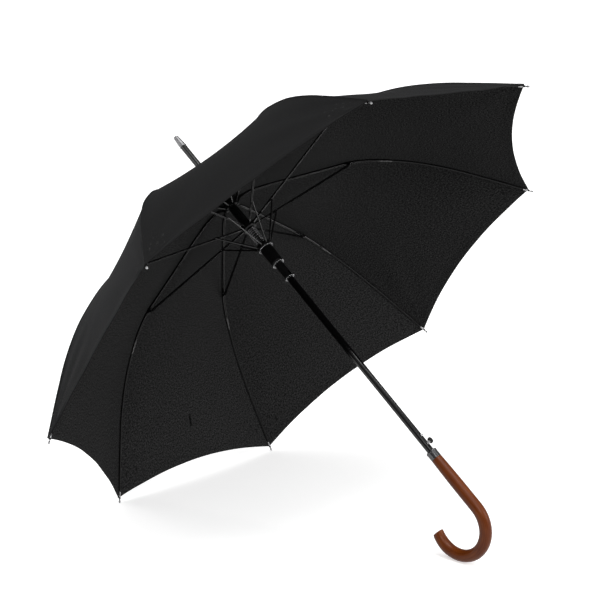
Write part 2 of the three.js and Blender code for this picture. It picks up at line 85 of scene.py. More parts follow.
# ------------------------------------------------------------------ node helpers
class Nodes:
    def __init__(self, name):
        self.m = bpy.data.materials.new(name)
        self.m.use_nodes = True
        self.t = self.m.node_tree
        self.b = self.t.nodes["Principled BSDF"]

    def n(self, kind, **kw):
        node = self.t.nodes.new(kind)
        for k, v in kw.items():
            if k.startswith("in_"):
                key = k[3:]
                key = int(key) if key.isdigit() else key.replace("_", " ")
                node.inputs[key].default_value = v
            else:
                setattr(node, k, v)
        return node

    def link(self, a, b):
        self.t.links.new(a, b)

    def coord(self, attr=None):
        if attr:
            return self.n("ShaderNodeAttribute", attribute_name=attr).outputs["Vector"]
        return self.n("ShaderNodeTexCoord").outputs["Object"]

    def scaled(self, vec, s):
        v = self.n("ShaderNodeVectorMath", operation="MULTIPLY")
        self.link(vec, v.inputs[0])
        v.inputs[1].default_value = s
        return v.outputs[0]

    def math(self, op, a, b=None, clamp=False):
        v = self.n("ShaderNodeMath", operation=op, use_clamp=clamp)
        for i, x in enumerate((a, b)):
            if x is None:
                continue
            if isinstance(x, (int, float)):
                v.inputs[i].default_value = x
            else:
                self.link(x, v.inputs[i])
        return v.outputs[0]

    def noise(self, vec, scale, detail=3.0, rough=0.55, dist=0.0):
        v = self.n("ShaderNodeTexNoise", in_Scale=scale, in_Detail=detail, in_Roughness=rough, in_Distortion=dist)
        self.link(vec, v.inputs["Vector"])
        return v.outputs[0]

    def ramp(self, fac, stops, interp="LINEAR"):
        r = self.n("ShaderNodeValToRGB")
        r.color_ramp.interpolation = interp
        el = r.color_ramp.elements
        while len(el) > len(stops):
            el.remove(el[-1])
        while len(el) < len(stops):
            el.new(0.5)
        for e, (p, c) in zip(el, stops):
            e.position = p
            e.color = (*c, 1) if len(c) == 3 else c
        self.link(fac, r.inputs["Fac"])
        return r.outputs["Color"]

    def mix(self, fac, a, b):
        v = self.n("ShaderNodeMix", data_type="RGBA")
        if isinstance(fac, (int, float)):
            v.inputs["Factor"].default_value = fac
        else:
            self.link(fac, v.inputs["Factor"])
        for key, x in (("A", a), ("B", b)):
            sock = [s for s in v.inputs if s.name == key and s.type == "RGBA"][0]
            if isinstance(x, tuple):
                sock.default_value = (*x, 1)
            else:
                self.link(x, sock)
        return [s for s in v.outputs if s.type == "RGBA"][0]

    def remap(self, fac, a, b):
        v = self.n("ShaderNodeMapRange")
        self.link(fac, v.inputs["Value"])
        v.inputs["To Min"].default_value = a
        v.inputs["To Max"].default_value = b
        return v.outputs[0]

    def bump(self, height, strength, distance, normal=None):
        v = self.n("ShaderNodeBump", in_Strength=strength, in_Distance=distance)
        self.link(height, v.inputs["Height"])
        if normal is not None:
            self.link(normal, v.inputs["Normal"])
        return v.outputs[0]

    def set(self, **kw):
        for k, v in kw.items():
            sock = self.b.inputs[k.replace("_", " ")]
            if hasattr(v, "is_linked") or isinstance(v, bpy.types.NodeSocket):
                self.link(v, sock)
            else:
                sock.default_value = v
        return self.m


def fabric(name, dark, light, rough, sheen, grain, gain, spec=0.12):
    """plain-weave pongee; the attribute 'cloth' holds millimetres across and along the gore"""
    s = Nodes(name)
    c = s.coord("cloth")
    xyz = s.n("ShaderNodeSeparateXYZ")
    s.link(c, xyz.inputs[0])
    warp = s.math("SINE", s.math("MULTIPLY", xyz.outputs[0], 2 * math.pi / 0.62))
    weft = s.math("SINE", s.math("MULTIPLY", xyz.outputs[1], 2 * math.pi / 0.62))
    weave = s.math("MULTIPLY", warp, weft)
    slub_a = s.noise(s.scaled(c, (1.1, 0.05, 1)), 1.0, 2.0)
    slub_b = s.noise(s.scaled(c, (0.05, 1.1, 1)), 1.0, 2.0)
    slub = s.math("ADD", slub_a, slub_b)
    # flecks: random tone of the weave, smoother there, and lighter in base colour as painted glints of the fibres
    fleck_glint = s.noise(s.scaled(c, (grain, grain, 1)), 1.0, 3.0, 0.75)
    fleck_glint = s.ramp(fleck_glint, [(0.40, (0, 0, 0)), (0.72, (1, 1, 1))])
    cloudy = s.noise(s.scaled(c, (0.011, 0.007, 1)), 1.0, 2.0)
    base = s.mix(s.math("MULTIPLY", fleck_glint, gain), dark, light)
    base = s.mix(s.remap(cloudy, 0.0, 0.20), base, tuple(1.8 * x for x in dark))
    base = s.mix(s.remap(slub, -0.35, 0.30), base, tuple(0.6 * x for x in dark))
    n1 = s.bump(weave, 0.35, 0.00006)
    n2 = s.bump(slub, 0.25, 0.00012, n1)
    n3 = s.bump(cloudy, 0.5, 0.0012, n2)
    r = s.remap(fleck_glint, rough, rough - 0.2)
    return s.set(Base_Color=base, Roughness=r, Normal=n3, Sheen_Weight=sheen, Sheen_Roughness=0.45,
                 Sheen_Tint=(0.8, 0.82, 0.86, 1), Specular_IOR_Level=spec)


def painted(name, dark, light, rough, spread, coat=0.0, metal=0.0, wear=(0.2, 0.2, 0.2), wear_at=0.78, peel=0.00004, spec=0.5):
    """lacquered or moulded black surface: faint dust, orange peel, small rubbed spots"""
    s = Nodes(name)
    c = s.coord()
    fine = s.noise(c, 900.0, 4.0, 0.6)
    broad = s.noise(c, 55.0, 3.0, 0.6)
    spots = s.noise(c, 260.0, 5.0, 0.7)
    base = s.mix(broad, dark, light)
    base = s.mix(s.ramp(spots, [(wear_at, (0, 0, 0)), (min(wear_at + 0.08, 1.0), (1, 1, 1))]), base, wear)
    r = s.math("ADD", s.remap(broad, rough, rough + spread), s.remap(fine, -0.04, 0.05))
    return s.set(Base_Color=base, Roughness=r, Normal=s.bump(fine, 0.5, peel), Metallic=metal,
                 Coat_Weight=coat, Coat_Roughness=0.08, Specular_IOR_Level=spec)


def plated(name, dark, light, rough):
    s = Nodes(name)
    c = s.coord()
    brushed = s.noise(s.scaled(c, (1, 1, 1)), 1400.0, 4.0, 0.7)
    broad = s.noise(c, 120.0, 3.0, 0.6)
    base = s.mix(broad, dark, light)
    r = s.math("ADD", s.remap(broad, rough, rough + 0.12), s.remap(brushed, -0.05, 0.06))
    return s.set(Base_Color=base, Roughness=r, Metallic=1.0, Normal=s.bump(brushed, 0.35, 0.00002))


def wooden(name, k=1.0, rough=0.34, coat=0.07):
    """stained wood; the attribute 'grain' holds millimetres in the straightened stick, z along it"""
    s = Nodes(name)
    c = s.coord("grain")
    warp = s.noise(s.scaled(c, (0.05, 0.05, 0.008)), 1.0, 3.0)
    xyz = s.n("ShaderNodeSeparateXYZ")
    s.link(c, xyz.inputs[0])
    off = s.math("ADD", xyz.outputs[0], 17.0)
    off2 = s.math("ADD", xyz.outputs[1], 6.0)
    rad = s.math("SQRT", s.math("ADD", s.math("MULTIPLY", off, off), s.math("MULTIPLY", off2, off2)))
    rings = s.math("SINE", s.math("ADD", s.math("MULTIPLY", rad, 2.1), s.math("MULTIPLY", warp, 26.0)))
    rings = s.remap(s.math("MULTIPLY", s.math("ADD", rings, 1.0), 0.5), 0.0, 1.0)
    fibre = s.noise(s.scaled(c, (2.6, 2.6, 0.055)), 1.0, 4.0, 0.7)
    pores = s.noise(s.scaled(c, (3.6, 3.6, 0.16)), 1.0, 3.0, 0.8)
    pores = s.ramp(pores, [(0.60, (0, 0, 0)), (0.70, (1, 1, 1))])
    blotch = s.noise(s.scaled(c, (0.06, 0.06, 0.03)), 1.0, 3.0)
    tone = s.math("ADD", s.math("MULTIPLY", rings, 0.10), s.math("MULTIPLY", fibre, 0.50))
    tone = s.math("ADD", tone, s.math("MULTIPLY", blotch, 0.42))
    cols = [(0.22, (0.062 * k, 0.0102 * k, 0.0013 * k)), (0.44, (0.108 * k, 0.0212 * k, 0.0025 * k)),
            (0.62, (0.160 * k, 0.0370 * k, 0.0044 * k)), (0.86, (0.265 * k, 0.0850 * k, 0.0110 * k))]
    base = s.ramp(tone, cols)
    base = s.mix(s.math("MULTIPLY", pores, 0.40), base, (0.040 * k, 0.011 * k, 0.003 * k))
    r = s.math("ADD", s.remap(fibre, rough - 0.05, rough + 0.09), s.math("MULTIPLY", pores, 0.12))
    nrm = s.bump(s.math("ADD", fibre, s.math("MULTIPLY", pores, -0.6)), 0.30, 0.00006)
    return s.set(Base_Color=base, Roughness=r, Normal=nrm, Coat_Weight=coat, Coat_Roughness=0.20,
                 Specular_IOR_Level=0.14)


M = {}
# the light flecks of both faces are painted glints; they are bright and many on the inner face
M["cloth_out"] = fabric("cloth_out", (0.0108, 0.0108, 0.0110), (0.028, 0.028, 0.0282), 0.82, 0.02, 0.55, 0.5, 0.015)
M["cloth_in"] = fabric("cloth_in", (0.0074, 0.0074, 0.0075), (0.100, 0.100, 0.1005), 0.80, 0.0, 0.42, 0.95, 0.010)
M["thread"] = fabric("thread", (0.0030, 0.0030, 0.0031), (0.010, 0.010, 0.010), 0.8, 0.03, 2.0, 0.6, 0.02)
M["tube"] = painted("tube_lacquer", (0.0012, 0.0012, 0.0013), (0.0026, 0.0026, 0.0028), 0.07, 0.03, 0.0, spec=0.34)
M["collar"] = painted("collar_lacquer", (0.050, 0.050, 0.052), (0.110, 0.110, 0.113), 0.16, 0.07, 0.0, 0.95)
M["rib_steel"] = painted("rib_steel", (0.0030, 0.0030, 0.0031), (0.0090, 0.0090, 0.0092), 0.15, 0.10, 0.0, 0.0,
                         (0.10, 0.10, 0.10), 0.80, spec=0.55)
M["rod"] = painted("glass_rod", (0.0028, 0.0028, 0.0028), (0.0060, 0.0060, 0.0060), 0.32, 0.14, spec=0.18)
M["plastic"] = painted("plastic", (0.0012, 0.0012, 0.0013), (0.003, 0.003, 0.0032), 0.30, 0.14, 0.0, 0.0,
                       (0.02, 0.02, 0.02), 0.82, 0.00007, 0.22)
M["nickel"] = plated("nickel", (0.55, 0.55, 0.56), (0.78, 0.78, 0.79), 0.18)
M["ferrule"] = plated("ferrule_nickel", (0.17, 0.17, 0.175), (0.28, 0.28, 0.285), 0.36)
M["tip"] = plated("tip_nickel", (0.20, 0.20, 0.203), (0.36, 0.36, 0.365), 0.20)
M["spring"] = plated("spring_steel", (0.085, 0.085, 0.087), (0.180, 0.180, 0.183), 0.09)
M["wood"] = wooden("wood")
M["wood_end"] = wooden("wood_end", 0.55, 0.48, 0.05)

# ------------------------------------------------------------------ mesh helpers
PIECES = []


def mesh(name, verts, faces, body, mats, slot, replaces=(), sharp=38.0, mat_ids=None, attrs=None, turn_k=None, weld=0.0, flip=True):
    """verts in the umbrella's frame (or the rib's frame with turn_k), millimetres"""
    verts = np.asarray(verts, float)
    if turn_k is not None:
        verts = turn(verts, azimuth(turn_k))
    me = bpy.data.meshes.new(name)
    me.from_pydata(row(verts).tolist(), [], [list(map(int, f)) for f in faces])
    for m in (mats if isinstance(mats, (list, tuple)) else [mats]):
        me.materials.append(M[m])
    if mat_ids is not None:
        me.polygons.foreach_set("material_index", np.asarray(mat_ids, np.int32))
    for key, val in (attrs or {}).items():
        a = me.attributes.new(key, "FLOAT_VECTOR", "POINT")
        a.data.foreach_set("vector", np.asarray(val, np.float32).ravel())
    bm = bmesh.new()
    bm.from_mesh(me)
    if weld:
        bmesh.ops.remove_doubles(bm, verts=bm.verts, dist=weld / 1000.0)
    if flip:
        bmesh.ops.recalc_face_normals(bm, faces=bm.faces)
    lim = math.radians(sharp)
    for f in bm.faces:
        f.smooth = True
    for e in bm.edges:
        e.smooth = not (len(e.link_faces) != 2 or e.calc_face_angle(0.0) > lim)
    bm.to_mesh(me)
    bm.free()
    o = bpy.data.objects.new(name, me)
    bpy.context.scene.collection.objects.link(o)
    PIECES.append((o, body, slot, replaces))
    return o


def resharp(me, sharp=38.0):
    bm = bmesh.new()
    bm.from_mesh(me)
    lim = math.radians(sharp)
    for f in bm.faces:
        f.smooth = True
    for e in bm.edges:
        e.smooth = not (len(e.link_faces) != 2 or e.calc_face_angle(0.0) > lim)
    bm.to_mesh(me)
    bm.free()


def cut(o, cutters, sharp=38.0):
    """o minus the cutter meshes [(verts, faces)] given in the umbrella's frame"""
    vs, fs, n = [], [], 0
    for v, f in cutters:
        vs.append(np.asarray(v, float))
        fs += [[i + n for i in q] for q in f]
        n += len(v)
    me = bpy.data.meshes.new("cutter")
    me.from_pydata(row(np.concatenate(vs)).tolist(), [], fs)
    bm = bmesh.new(); bm.from_mesh(me); bmesh.ops.recalc_face_normals(bm, faces=bm.faces); bm.to_mesh(me); bm.free()
    c = bpy.data.objects.new("cutter", me)
    bpy.context.scene.collection.objects.link(c)
    mod = o.modifiers.new("cut", "BOOLEAN")
    mod.operation, mod.solver, mod.object = "DIFFERENCE", "EXACT", c
    bpy.context.view_layer.update()
    new = bpy.data.meshes.new_from_object(o.evaluated_get(bpy.context.evaluated_depsgraph_get()))
    o.modifiers.clear()
    old = o.data
    o.data = new
    bpy.data.meshes.remove(old)
    bpy.data.objects.remove(c)
    bpy.data.meshes.remove(me)
    resharp(o.data, sharp)
    return o


def join_parts(*parts):
    """(verts, faces[, ids]) lists joined in one"""
    vs, fs, ids, n = [], [], [], 0
    for part in parts:
        v, f = np.asarray(part[0], float), part[1]
        vs.append(v)
        fs += [[i + n for i in q] for q in f]
        ids += list(part[2]) if len(part) > 2 else [0] * len(f)
        n += len(v)
    return np.concatenate(vs), fs, ids


def fillet(profile, radii, steps=3):
    """closed (r, z) outline with its corners rounded"""
    out, n = [], len(profile)
    for i in range(n):
        a, p, b = (np.array(profile[j % n], float) for j in (i - 1, i, i + 1))
        r = radii[i] if isinstance(radii, (list, tuple)) else radii
        da, db = a - p, b - p
        la, lb = np.linalg.norm(da), np.linalg.norm(db)
        if r <= 0 or la < 1e-6 or lb < 1e-6 or p[0] < 1e-6:
            out.append(tuple(p))
            continue
        da, db = da / la, db / lb
        ang = math.acos(np.clip(da @ db, -1, 1))
        if ang > math.radians(172):
            out.append(tuple(p))
            continue
        t = min(r / math.tan(ang / 2), 0.45 * la, 0.45 * lb)
        p0, p1 = p + da * t, p + db * t
        for j in range(steps + 1):
            w = j / steps
            out.append(tuple((1 - w) ** 2 * p0 + 2 * w * (1 - w) * p + w * w * p1))
    return out


def lathe(profile, seg=64, centre=(0, 0)):
    """closed outline turned about the shaft; points on the axis are shared"""
    vs, idx = [], []
    for r, z in profile:
        if r < 1e-6:
            idx.append([len(vs)] * seg)
            vs.append((centre[0], centre[1], z))
        else:
            idx.append(list(range(len(vs), len(vs) + seg)))
            for j in range(seg):
                a = 2 * math.pi * j / seg
                vs.append((centre[0] + r * math.cos(a), centre[1] + r * math.sin(a), z))
    fs, n = [], len(profile)
    for i in range(n):
        a, b = idx[i], idx[(i + 1) % n]
        if a[0] == a[-1] and b[0] == b[-1]:
            continue
        for j in range(seg):
            k = (j + 1) % seg
            q = [a[j], a[k], b[k], b[j]]
            q = [x for t, x in enumerate(q) if x not in q[:t]]
            if len(q) > 2:
                fs.append(q)
    return np.array(vs), fs


def loft(rings, caps=True, closed=False):
    rings = np.asarray(rings, float)
    n, m = rings.shape[:2]
    fs = []
    for i in range(n if closed else n - 1):
        for j in range(m):
            a, b = i * m + j, i * m + (j + 1) % m
            c, d = ((i + 1) % n) * m + (j + 1) % m, ((i + 1) % n) * m + j
            fs.append([a, b, c, d])
    if caps and not closed:
        fs.append(list(range(m))[::-1])
        fs.append([(n - 1) * m + j for j in range(m)])
    return rings.reshape(-1, 3), fs


def box(x0, x1, y0, y1, z0, z1, a=0.0):
    v = np.array([(x, y, z) for x in (x0, x1) for y in (y0, y1) for z in (z0, z1)], float)
    f = [[0, 1, 3, 2], [4, 6, 7, 5], [0, 4, 5, 1], [2, 3, 7, 6], [0, 2, 6, 4], [1, 5, 7, 3]]
    return turn(v, a), f


def rounded_slot(x0, x1, y, z0, z1, n=8):
    """a cutter along x, y to -y wide, with round ends in z"""
    pts = [(y * math.cos(t), z1 - y + y * math.sin(t)) for t in np.linspace(0, math.pi, n)]
    pts += [(y * math.cos(t), z0 + y + y * math.sin(t)) for t in np.linspace(math.pi, 2 * math.pi, n)]
    return loft([[(x, a, b) for a, b in pts] for x in (x0, x1)])


def torus(r, wire, z, seg=72, m=12):
    rings = []
    for i in range(seg):
        a = 2 * math.pi * i / seg
        rings.append([((r + wire * math.cos(t)) * math.cos(a), (r + wire * math.cos(t)) * math.sin(a), z + wire * math.sin(t))
                      for t in np.linspace(0, 2 * math.pi, m, endpoint=False)])
    return loft(rings, closed=True)


def path_frames(path):
    path = np.asarray(path, float)
    d = np.gradient(path, axis=0)
    d /= np.linalg.norm(d, axis=1)[:, None]
    return path, d


def sweep(path, sections, y=0.0, caps=True):
    """path of (x, z) points; a section is a closed list of (across, up) points for each path point"""
    path, d = path_frames(path)
    rings = []
    for (x, z), (tx, tz), sec in zip(path, d, sections):
        nx, nz = -tz, tx
        rings.append([(x + nx * u, y + v, z + nz * u) for v, u in sec])
    return loft(rings, caps)


def pin(x, z, r, y0, y1, seg=20, bevel=0.2):
    """a rivet or pin along y with its edges eased"""
    rings = []
    for y, rr in ((y0, r - bevel), (y0 + bevel, r), (y1 - bevel, r), (y1, r - bevel)):
        rings.append([(x + rr * math.cos(t), y, z + rr * math.sin(t)) for t in np.linspace(0, 2 * math.pi, seg, endpoint=False)])
    return loft(rings)


def circle(r, m=14, sy=1.0):
    return [(r * math.cos(t), sy * r * math.sin(t)) for t in np.linspace(0, 2 * math.pi, m, endpoint=False)]


def channel(w, h, t, c=0.5):
    """U section, open downwards: (across, up) outline"""
    a, b = w / 2, h / 2
    outer = [(-a, -b), (-a, b - c), (-a + 0.3 * c, b - 0.3 * c), (-a + c, b), (a - c, b), (a - 0.3 * c, b - 0.3 * c), (a, b - c), (a, -b)]
    inner = [(a - t, -b), (a - t, b - t - 0.2), (a - t - 0.3, b - t), (-a + t + 0.3, b - t), (-a + t, b - t - 0.2), (-a + t, -b)]
    return outer + inner


def plate(outline, y0, y1, holes=()):
    """flat outline in (x, z), from y0 to y1, with its rim eased"""
    o = np.asarray(outline, float)
    c = o.mean(0)
    rings = []
    e = 0.12
    for y, k in ((y0, e), (y0 + e, 0), (y1 - e, 0), (y1, e)):
        d = o - c
        s = o - d / np.linalg.norm(d, axis=1)[:, None] * k
        rings.append([(x, y, z) for x, z in s])
    return loft(rings)


def eye_plate(p, q, r0, r1, y0, y1, hole=1.05, n=12):
    """link plate with a round eye at p, hole through it, running to q"""
    p, q = np.array(p, float), np.array(q, float)
    d = (q - p) / np.linalg.norm(q - p)
    nn = np.array([-d[1], d[0]])
    base = math.atan2(nn[1], nn[0])
    out, inn = [], []
    for i in range(2 * n + 1):
        t = base + math.pi * i / (2 * n)
        out.append(p + r0 * np.array([math.cos(t), math.sin(t)]))
        inn.append(p + hole * np.array([math.cos(t), math.sin(t)]))
    # front half of the hole, and the strip to q
    m = len(out)
    out += [q - nn * r1, q + nn * r1]
    inn2 = [p + hole * np.array([math.cos(t), math.sin(t)]) for t in (base + math.pi + math.pi * j / 6 for j in range(1, 6))]
    vs, fs = [], []
    for y in (y0, y1):
        vs += [(a[0], y, a[1]) for a in out] + [(a[0], y, a[1]) for a in inn] + [(a[0], y, a[1]) for a in inn2]
    no, ni, n2 = len(out), len(inn), len(inn2)
    tot = no + ni + n2
    for s, off in ((1, 0), (-1, tot)):
        for i in range(m - 1):
            q4 = [off + i, off + i + 1, off + no + i + 1, off + no + i]
            fs.append(q4 if s > 0 else q4[::-1])
        f = [off + m - 1, off + m, off + m + 1, off + 0, off + no] + [off + no + ni + j for j in reversed(range(n2))] + [off + no + ni - 1]
        fs.append(f if s > 0 else f[::-1])
    for i in range(no):
        j = (i + 1) % no
        fs.append([i, j, tot + j, tot + i])
    loop = list(range(no, no + ni)) + list(range(no + ni, tot))
    for i in range(len(loop)):
        a, b = loop[i], loop[(i + 1) % len(loop)]
        fs.append([a, b, tot + b, tot + a])
    return np.array(vs), fs


# ------------------------------------------------------------------ rib line
def catmull(points, n):
    p = np.array([(r, 0.0, z) for r, z in points])
    p = np.concatenate([[2 * p[0] - p[1]], p, [2 * p[-1] - p[-2]]])
    segs, out = len(p) - 3, []
    for i in range(n + 1):
        t = segs * i / n
        k = min(int(t), segs - 1)
        w = t - k
        a, b, c, d = p[k:k + 4]
        d0, d1, d2 = (max(math.sqrt(np.linalg.norm(v)), 1e-4) for v in (b - a, c - b, d - c))
        t1 = ((b - a) / d0 - (c - a) / (d0 + d1) + (c - b) / d1) * d1
        t2 = ((c - b) / d1 - (d - b) / (d1 + d2) + (d - c) / d2) * d1
        out.append(b + t1 * w + (-3 * b + 3 * c - 2 * t1 - t2) * w * w + (2 * b - 2 * c + t1 + t2) * w ** 3)
    return np.array(out)[:, [0, 2]]


def settled(line):
    """the rod end bends a little more under the cloth's pull than the plain curve, most at 350 mm"""
    w = np.clip((line[:, 0] - 252.0) / 253.0, 0, 1) ** 0.75
    return np.stack([line[:, 0], line[:, 1] - 4.0 * np.sin(math.pi * w) ** 2], axis=1)


LINE = settled(catmull(RIB_PATH[2:], 1200))


def rib_z(r):
    r = np.asarray(r, float)
    z = np.interp(r, LINE[:, 0], LINE[:, 1])
    z = np.where(r < LINE[0, 0], LINE[0, 1] + (r - LINE[0, 0]) * 0.06, z)
    return np.where(r > LINE[-1, 0], LINE[-1, 1] + (r - LINE[-1, 0]) * -1.18, z)


FULL = settled(catmull(RIB_PATH, 1600))


def on_rib(step, a=0.0, b=1e9):
    """points of the rib's centre line at even steps, radius between a and b"""
    s = np.concatenate([[0], np.cumsum(np.linalg.norm(np.diff(FULL, axis=0), axis=1))])
    keep = (FULL[:, 0] >= a - 1e-9) & (FULL[:, 0] <= b + 1e-9)
    s0, s1 = s[keep][0], s[keep][-1]
    t = np.linspace(s0, s1, max(2, int((s1 - s0) / step)))
    return np.stack([np.interp(t, s, FULL[:, 0]), np.interp(t, s, FULL[:, 1])], axis=1)


# ------------------------------------------------------------------ camera
cam_data = bpy.data.cameras.new("camera")
cam = bpy.data.objects.new("camera", cam_data)
bpy.context.scene.collection.objects.link(cam)
cam_data.sensor_fit, cam_data.sensor_width, cam_data.lens = "HORIZONTAL", 36.0, 1441.0 * 36.0 / 600.0
cam_data.clip_start, cam_data.clip_end = 0.05, 200.0
right = Vector((-0.7334243, -0.67974218, -0.00627427))
down = Vector((-0.14510617, 0.16556972, -0.97546444))
fwd = Vector((0.66410315, -0.71451889, -0.22006764))
cam.matrix_world = Matrix(((right.x, -down.x, -fwd.x, -1.5993), (right.y, -down.y, -fwd.y, 1.7732),
                           (right.z, -down.z, -fwd.z, 0.9277), (0, 0, 0, 1)))
bpy.context.scene.camera = cam

# ------------------------------------------------------------------ canopy
HEM_SCOOP, HEM_DROP, SAG, CLOTH = 0.039, 7.0, 9.0, 0.45


def canopy_point(s, u, lift):
    """s 0 at the crown to 1 at the hem, u -1..1 across a gore, lift off the rib's centre line"""
    r0 = 18 + (R_TIP - 18) * s
    r = r0 * (1 - HEM_SCOOP * (1 - u * u) * s * s)
    slope = (rib_z(r + 2) - rib_z(r - 2)) / 4.0
    nl = np.hypot(slope, 1)
    rr, zz = r - slope / nl * lift, rib_z(r) + lift / nl
    return np.stack([rr * math.cos(HALF), u * rr * math.sin(HALF),
                     zz - (1 - u * u) * (SAG * np.sin(math.pi * np.minimum(s * 1.02, 1)) + HEM_DROP * s ** 4)], axis=-1)


def gore(k, side):
    """the half gore beside rib k, towards increasing (+1) or decreasing (-1) azimuth"""
    hem = 7.5 / 492
    s = np.concatenate([np.linspace(0, 1, 60)[:-1] * (1 - hem - 0.004), [1 - hem - 0.0018, 1 - hem, 1 - 0.66 * hem, 1 - 0.33 * hem, 1 - 0.06 * hem, 1.0]])
    t = np.linspace(0, 1, 27) ** 1.7                       # 0 at the rib, 1 at the middle of the gore
    S, T = np.meshgrid(s, t, indexing="ij")
    U = -side * (1 - T)
    across = T * (18 + 492 * S) * math.sin(HALF)           # mm from the rib line
    from_tip = (1 - S) * 545.0
    reach = np.hypot(from_tip, across)
    # tension folds that fan out from the corner, and faint, wider ones a little farther from it
    angle = np.arctan2(across, np.maximum(from_tip, 1e-6))
    fan = np.sin(angle * 17.0 + 0.9 * (k % 3) + side) * np.exp(-((reach - 34) / 30.0) ** 2) * 0.9
    fan += np.sin(angle * 9.0 + 1.7 * k) * np.exp(-((reach - 95) / 55.0) ** 2) * 0.8
    fan *= np.clip(across / 7.0, 0, 1) ** 2 * (0.5 - 0.5 * np.cos(math.pi * np.clip((1 - T) / 0.35, 0, 1)))
    # seam: the two gores stand up in a narrow welt over the rib
    welt = 1.45 * np.exp(-(across / 1.5) ** 2)
    # slack just inside the hem
    ripple = 0.55 * np.sin(across / 17.0 + k * 1.3) * np.exp(-from_tip / 26.0) * np.clip(across / 30.0, 0, 1) * np.clip((1 - T) * 5, 0, 1)
    mid = 2.55 + fan + ripple
    rim = (S > 1 - hem - 1e-9)
    up = mid + CLOTH / 2 + welt + np.where(rim, 0.22, 0.0)
    lo = mid - CLOTH / 2 - np.where(rim, 0.42, 0.0)
    edge = (S > 1 - 1e-9)
    up, lo = np.where(edge, mid + 0.28, up), np.where(edge, mid - 0.50, lo)
    outer, inner = canopy_point(S, U, up), canopy_point(S, U, lo)
    ns, nt = S.shape
    vs = np.concatenate([outer.reshape(-1, 3), inner.reshape(-1, 3)])
    vs = turn(vs, azimuth(k) + side * HALF)
    idx = np.arange(ns * nt).reshape(ns, nt)
    fs, ids = [], []
    for lay in (0, 1):
        off = lay * ns * nt
        for i in range(ns - 1):
            for j in range(nt - 1):
                q = [off + idx[i, j], off + idx[i + 1, j], off + idx[i + 1, j + 1], off + idx[i, j + 1]]
                if (side > 0) == (lay == 1):
                    q = q[::-1]
                fs.append(q)
                ids.append(lay)
    n = ns * nt

    def strip(line, flip):
        for a, b in zip(line[:-1], line[1:]):
            q = [a, b, b + n, a + n]
            fs.append(q[::-1] if flip else q)
            ids.append(0)
    strip(idx[:, 0], side < 0)
    strip(idx[::-1, -1], side < 0)
    strip(idx[-1, :], side < 0)
    strip(idx[0, ::-1], side < 0)
    cloth = np.stack([side * across + 400 * k, S * 545.0 + 37 * k, np.zeros_like(S)], axis=-1).reshape(-1, 3)
    return vs, fs, ids, np.concatenate([cloth, cloth + (3000, 900, 0)]), S, T


SHEETS = []
for k in range(1, 9):
    for side, word in ((1, "right"), (-1, "left")):
        vs, fs, ids, cloth, S, T = gore(k, side)
        node = f"canopy_panel_{k}" if side > 0 else f"canopy_panel_{(k - 2) % 8 + 1}"
        o = mesh(f"canopy_gore_{k}_{word}", vs, fs, f"rib_set_{k}", ["cloth_out", "cloth_in"], "canopy_fabric",
                 (node,) if side > 0 else (), 60.0, ids, {"cloth": cloth}, flip=False)
        SHEETS.append((o, k, side))

# ------------------------------------------------------------------ shaft, ferrule, crown
v, f = lathe(fillet([(5.2, -392), (6.0, -392), (6.0, 392.7), (5.2, 392.7)], 0.25), 96)
shaft = mesh("shaft", v, f, "shaft", "tube", "black_lacquer", ("shaft_tube",))
cut(shaft, [rounded_slot(-7.5, -2, 1.6, TOOTH_END - 1.2, TOOTH_TOP + 1.6),
            rounded_slot(-7.5, -2, 2.6, BUTTON_Z - 3.0, BUTTON_Z + 3.0)])
v, f = lathe(fillet([(0, 393.0), (6.3, 393.0), (6.55, 394.2), (6.55, 396.6), (5.95, 397.6), (5.9, 399.2), (6.2, 400.0),
                     (4.75, 418.2), (3.7, 419.7), (0, 419.7)], 0.45), 72)
mesh("ferrule", v, f, "shaft", "ferrule", "bright_steel", ("ferrule_tip",))
v, f = lathe(fillet([(6.3, 256.6), (17.0, 256.6), (17.4, 258), (16.0, 259.6), (13, 261.6), (9.4, 263.5), (8.6, 265.2), (8.6, 268), (6.3, 268)], 0.5), 72)
mesh("crown_cap", v, f, "shaft", "plastic", "black_plastic", ("top_cap",))
# gathered cloth rosette between the crown cap and the canopy
rings = []
for z, r, amp in ((252.6, 14.0, 0.0), (254.0, 22.2, 0.5), (255.2, 24.6, 0.7), (256.0, 22.7, 0.6), (256.4, 12.0, 0.15)):
    rings.append([((r + amp * math.cos(26 * a)) * math.cos(a), (r + amp * math.cos(26 * a)) * math.sin(a), z + 0.45 * amp * math.sin(26 * a))
                  for a in np.linspace(0, 2 * math.pi, 208, endpoint=False)])
inner_r = [[(6.4 * math.cos(a), 6.4 * math.sin(a), z) for a in np.linspace(0, 2 * math.pi, 208, endpoint=False)] for z in (256.2, 252.9)]
v, f = loft(rings + inner_r, closed=True)
rosette = mesh("crown_rosette", v, f, "shaft", "thread", "canopy_fabric", (), 60, attrs={"cloth": v})


def notch(name, profile, fil, z, wire_r, half, y, x0, low, high, body, nodes):
    v, f = lathe(fillet(profile, fil), 96)
    o = mesh(name, v, f, body, "plastic", "black_plastic", nodes)
    groove = lathe([(wire_r - 0.95, z - 0.95), (wire_r + 0.95, z - 0.95), (wire_r + 0.95, z + 0.95), (wire_r - 0.95, z + 0.95)], 64)
    cut(o, [groove])
    cut(o, [box(x0, 24, y - half, y + half, low, high, azimuth(k)) for k in range(1, 9)])
    return o


